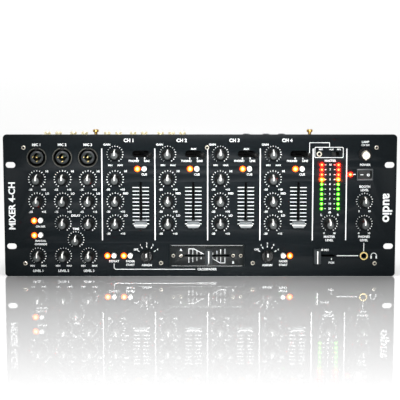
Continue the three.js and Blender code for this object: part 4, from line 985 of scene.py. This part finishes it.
# Brass: turned bar, left bare.
brass = mottled(
    "brass_turned", "#b08d4c", 0.32, {"Metallic": 1.0}, "#9c7a3c", "#c29f5c", 1600.0, (0.26, 0.42),
    0.00003)
PHONO_X = [-191.5, -177.6, -158.8, -144.8, -116.4, -102.3, -84, -70.1, -49.5, -35.7, -21.9]
sleeve = [[3.35, top], [4.1, top], [4.1, 174.9], [3.9, 175.2], [3.5, 175.2], [3.35, 174.9]]
barrel = ring(sleeve, 40)
washer = ring([[4.1, 165.1], [5.6, 165.1], [5.6, 166.0], [5.3, 166.3], [4.1, 166.3]], 6)
core = revolve([[0, top], [3.3, top], [3.3, 174.0], [1.7, 174.3], [1.6, 170.0], [0, 170.0]], 32)
contact = ring([[1.0, 168.0], [1.55, 168.0], [1.55, 173.6], [1.0, 173.6]], 20)
# Pale gilt: thin gold plate over nickel on the phono sockets, its colour paled towards white as a painted
# reflection of the bright room.
phono_gilt_with_painted_reflection = mottled(
    "phono_gilt_painted_reflection", "#f2e8c6", 0.25, {"Metallic": 0.65}, "#ebdfb6", "#f9f0d4", 1800.0,
    (0.2, 0.32), 0.00001)
shapes = [standing(s, x) for x in PHONO_X for s in (barrel, washer, core, contact)]
kinds = np.repeat([0, 0, 1, 0] * len(PHONO_X), [len(faces) for _, faces in shapes])
piece("phono_sockets", together(shapes), [phono_gilt_with_painted_reflection, ptfe], ids=kinds)

nut_profile = [[0, top], [2, top], [2, 175], [3.3, 175], [3.65, 175.4]]
nut_profile += [[3.65, 177.7], [3.3, 178.2], [0, 178.2]]
knurl = np.ones((6, 72))
knurl[3:5] -= 0.03 * (np.arange(72) % 3 == 0)
nuts = [standing(revolve(nut_profile, 72, knurl), x) for x in GROUND_X]
piece("ground_posts", together(nuts), [brass])

body = ring([[3.4, 146], [4.7, 146], [4.7, 171.2], [4.5, 172.4], [3.6, 172.4], [3.4, 172.0]], 36)
nut = ring([[4.7, 165.1], [6.6, 165.1], [6.6, 167.0], [6.2, 167.4], [4.7, 167.4]], 6)
shapes = [standing(s, x) for x in LINE_JACK_X for s in (body, nut)]
kinds = np.repeat([0, 1] * 3, [len(faces) for _, faces in shapes])
piece("line_jacks", together(shapes), [shell_black, nickel], ids=kinds)


def flat_plate(outlines, low, high, bevel=0.0):
    """A plate lying level: outlines in x and depth, between two heights."""
    points, faces = cut_plate(outlines, low, high, bevel)
    return points[:, [0, 2, 1]], faces


rim = flat_plate([rounded(INLET_X, 42, 27, 20, 2.5), rounded(INLET_X, 42, 22.6, 15.6, 1.5)], 165, 167, 0.3)
well = flat_plate([rounded(INLET_X, 42, 26, 19, 2.0), rounded(INLET_X, 42, 22.6, 15.6, 1.5)], 148.2, 165.2)
floor_plate = flat_plate([rounded(INLET_X, 42, 26, 19, 2.0)], 146, 148.2)
tongue = flat_plate([rounded(INLET_X, 42, 17.5, 8.5, 1.5)], 148, 164.0, 0.3)
pin_places = [(INLET_X + a, 42 + b) for a, b in ((-7, -5.6), (0, 5.6), (7, -5.6))]
pins = [block(x - 1, x + 1, d - 2, d + 2, 150, 162) for x, d in pin_places]
shapes = [together([rim, well, floor_plate, tongue]), together(pins)]
piece("mains_inlet", together(shapes), [shell_black, nickel], ids=ids_of(shapes))
strip = block(PHONO_X[0] - 8, 211.5, 29, 55, top - 1.6, top)
blocks = [block(x - 6, x + 6, 35, 49, 145.2, top - 1.5) for x in LINE_JACK_X]
shapes = [strip, together(blocks)]
piece("connector_strip", together(shapes), [board_green, case_black], stands_for=["connector_board"],
      ids=ids_of(shapes))

# ---------------------------------------------------------------- chassis screws and marks
# M3 screws close the folded tray at its back edge and sides; the connectors' names
# are printed on the top, to be read from behind.


def on_back(shape, x, z):
    """A shape turned to face backwards on the chassis back at x and z."""
    points = np.asarray(shape[0])
    return np.stack([x - points[:, 0], CHASSIS_BACK - points[:, 1], z + points[:, 2]], 1), shape[1]


def on_side(shape, side, depth, z):
    """A shape turned to face outwards on the chassis's left (-1) or right (1) side."""
    points = np.asarray(shape[0])
    across = side * (CHASSIS_HALF - points[:, 1])
    return np.stack([across, depth + side * points[:, 0], z + points[:, 2]], 1), shape[1]


def on_top(shape, x, depth):
    """A flat print laid on the chassis top, its letters upright for a reader behind."""
    points = np.asarray(shape[0])
    return np.stack([x - points[:, 0], depth - points[:, 2], CHASSIS_TOP - points[:, 1]], 1), shape[1]


places = [(x, z) for x in (-205, -70, 70, 205) for z in (12, 156)]
shapes = [on_back(s, x, z) for x, z in places for s in screw_head(2.6, 1.2)]
sides = [(side, depth, z) for side in (-1, 1) for depth in (16, 62) for z in (20, 148)]
shapes += [on_side(s, *place) for place in sides for s in screw_head(2.6, 1.2)]
kinds = np.repeat([0, 1] * (len(places) + len(sides)), [len(faces) for _, faces in shapes])
# The socket floors of these screws are painted black as shade in the recess.
piece("chassis_screws", together(shapes), [nickel, black_parts_and_recess_shade], ids=kinds)
marks = [("LINE 1", -184.5), ("PHONO 1", -151.8), ("LINE 2", -109.3), ("PHONO 2", -77), ("LINE 3", -42.6)]
marks += [("REC", -21.9), ("BOOTH", 58.2), ("MASTER R", 82.8), ("MASTER L", 104), ("GND", -130.7)]
marks += [("GND", 137.6)]
shapes = [on_top(words(text, 0, 0, 3.4), x, 56.5) for text, x in marks]
shapes += [on_top(words("230 V  50 Hz", 0, 0, 3.4), 196, 59), on_top(bar(0, 0, 200, 0.6), -106.7, 52.2)]
piece("connector_print", together(shapes), [white_ink_and_edge_highlights], sharp=20)

# ---------------------------------------------------------------- stage and camera
# A pale floor, soft light from large panels, and a long lens from in front and above.


def stage_panel(name, location, size, power, aim, tint=(1, 1, 1)):
    """A square area light aimed at a point, power in watts."""
    lamp = bpy.data.lights.new(name, "AREA")
    lamp.size, lamp.energy, lamp.color = size, power, tint
    obj = bpy.data.objects.new(name, lamp)
    obj.location = location
    obj.rotation_euler = (Vector(aim) - Vector(location)).to_track_quat("-Z", "Y").to_euler()
    bpy.context.collection.objects.link(obj)


floor_mesh = bpy.data.meshes.new("floor")
floor_mesh.from_pydata([(-6, -6, 0), (6, -6, 0), (6, 6, 0), (-6, 6, 0)], [], [(0, 1, 2, 3)])
floor = bpy.data.objects.new("floor", floor_mesh)
bpy.context.collection.objects.link(floor)
floor_mat, shader, coords = material(
    "studio_floor", "#f4f4f4", 0.02,
    {"Specular IOR Level": 0.0, "Coat Roughness": 0.02, "Coat IOR": 2.5})
place = add(floor_mat, "ShaderNodeSeparateXYZ", None, {"Vector": coords})
aside = add(floor_mat, "ShaderNodeMath", {"operation": "ABSOLUTE"}, {0: place.outputs["X"]})
weights = []
for value, near, far, least, most in (
    (place.outputs["Y"], -0.46, -0.034, 0.05, 0.72),
    (place.outputs["Y"], -0.026, -0.034, 0.0, 1.0),
    (aside.outputs[0], 0.32, 0.26, 0.0, 1.0),
    (place.outputs["Y"], -0.03, 0.3, 0.0, 1.0),
):
    inputs = {"Value": value, "From Min": near, "From Max": far, "To Min": least, "To Max": most}
    weights.append(add(floor_mat, "ShaderNodeMapRange", None, inputs).outputs[0])
fill(floor_mat, shader, "Coat Weight", weights[3])
both_ways = add(floor_mat, "ShaderNodeMath", {"operation": "MULTIPLY"}, {0: weights[0], 1: weights[1]})
polish = add(
    floor_mat, "ShaderNodeMath", {"operation": "MULTIPLY"}, {0: both_ways.outputs[0], 1: weights[2]})
fill(floor_mat, shader, "Metallic", polish.outputs[0])
floor_mesh.materials.append(floor_mat)
floor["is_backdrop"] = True

# The room is bright behind the object and dim in front, so the black front stays black.
world = bpy.data.worlds.new("studio")
world.use_nodes = True
nodes, links = world.node_tree.nodes, world.node_tree.links
around = nodes.new("ShaderNodeTexCoord")
axes = nodes.new("ShaderNodeSeparateXYZ")
fade = nodes.new("ShaderNodeMapRange")
links.new(around.outputs["Generated"], axes.inputs[0])
links.new(axes.outputs["Y"], fade.inputs["Value"])
for key, value in (("From Min", -0.5), ("From Max", 0.3), ("To Min", 0.1), ("To Max", 1.2)):
    fade.inputs[key].default_value = value
nodes["Background"].inputs["Color"].default_value = (1, 1, 1, 1)
links.new(fade.outputs[0], nodes["Background"].inputs["Strength"])
bpy.context.scene.world = world
bpy.context.scene.view_settings.view_transform = "Standard"
stage_panel("overhead", (0, -0.9, 1.7), 1.6, 13, (0, -0.9, 0))
stage_panel("key", (0, -2.0, 1.1), 1.2, 13, (0, 0, 0.08))
for i, x in enumerate((-0.14, 0.0, 0.14), 1):
    spot = bpy.data.lights.new(f"panel_spot_{i}", "SPOT")
    spot.energy, spot.shadow_soft_size = 110, 0.12
    spot.spot_size, spot.spot_blend = math.radians(15.5), 1.0
    spot_at = bpy.data.objects.new(f"panel_spot_{i}", spot)
    spot_at.location = (x, -1.05, 0.42)
    aim = Vector((x, FRONT_Y, 0.118)) - spot_at.location
    spot_at.rotation_euler = aim.to_track_quat("-Z", "Y").to_euler()
    bpy.context.collection.objects.link(spot_at)

camera = bpy.data.cameras.new("camera")
camera.sensor_width = 36
PITCH, DISTANCE, RISE = 7.0, 1.53, 0.373
camera.lens = 36 * 1262 / 400
camera.shift_y = -0.18
camera.clip_start, camera.clip_end = 0.05, 50
eye = bpy.data.objects.new("camera", camera)
eye.location = (0, FRONT_Y - DISTANCE, RISE)
eye.rotation_euler = (math.radians(90 - PITCH), 0, 0)
bpy.context.collection.objects.link(eye)
bpy.context.scene.camera = eye

low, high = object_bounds()
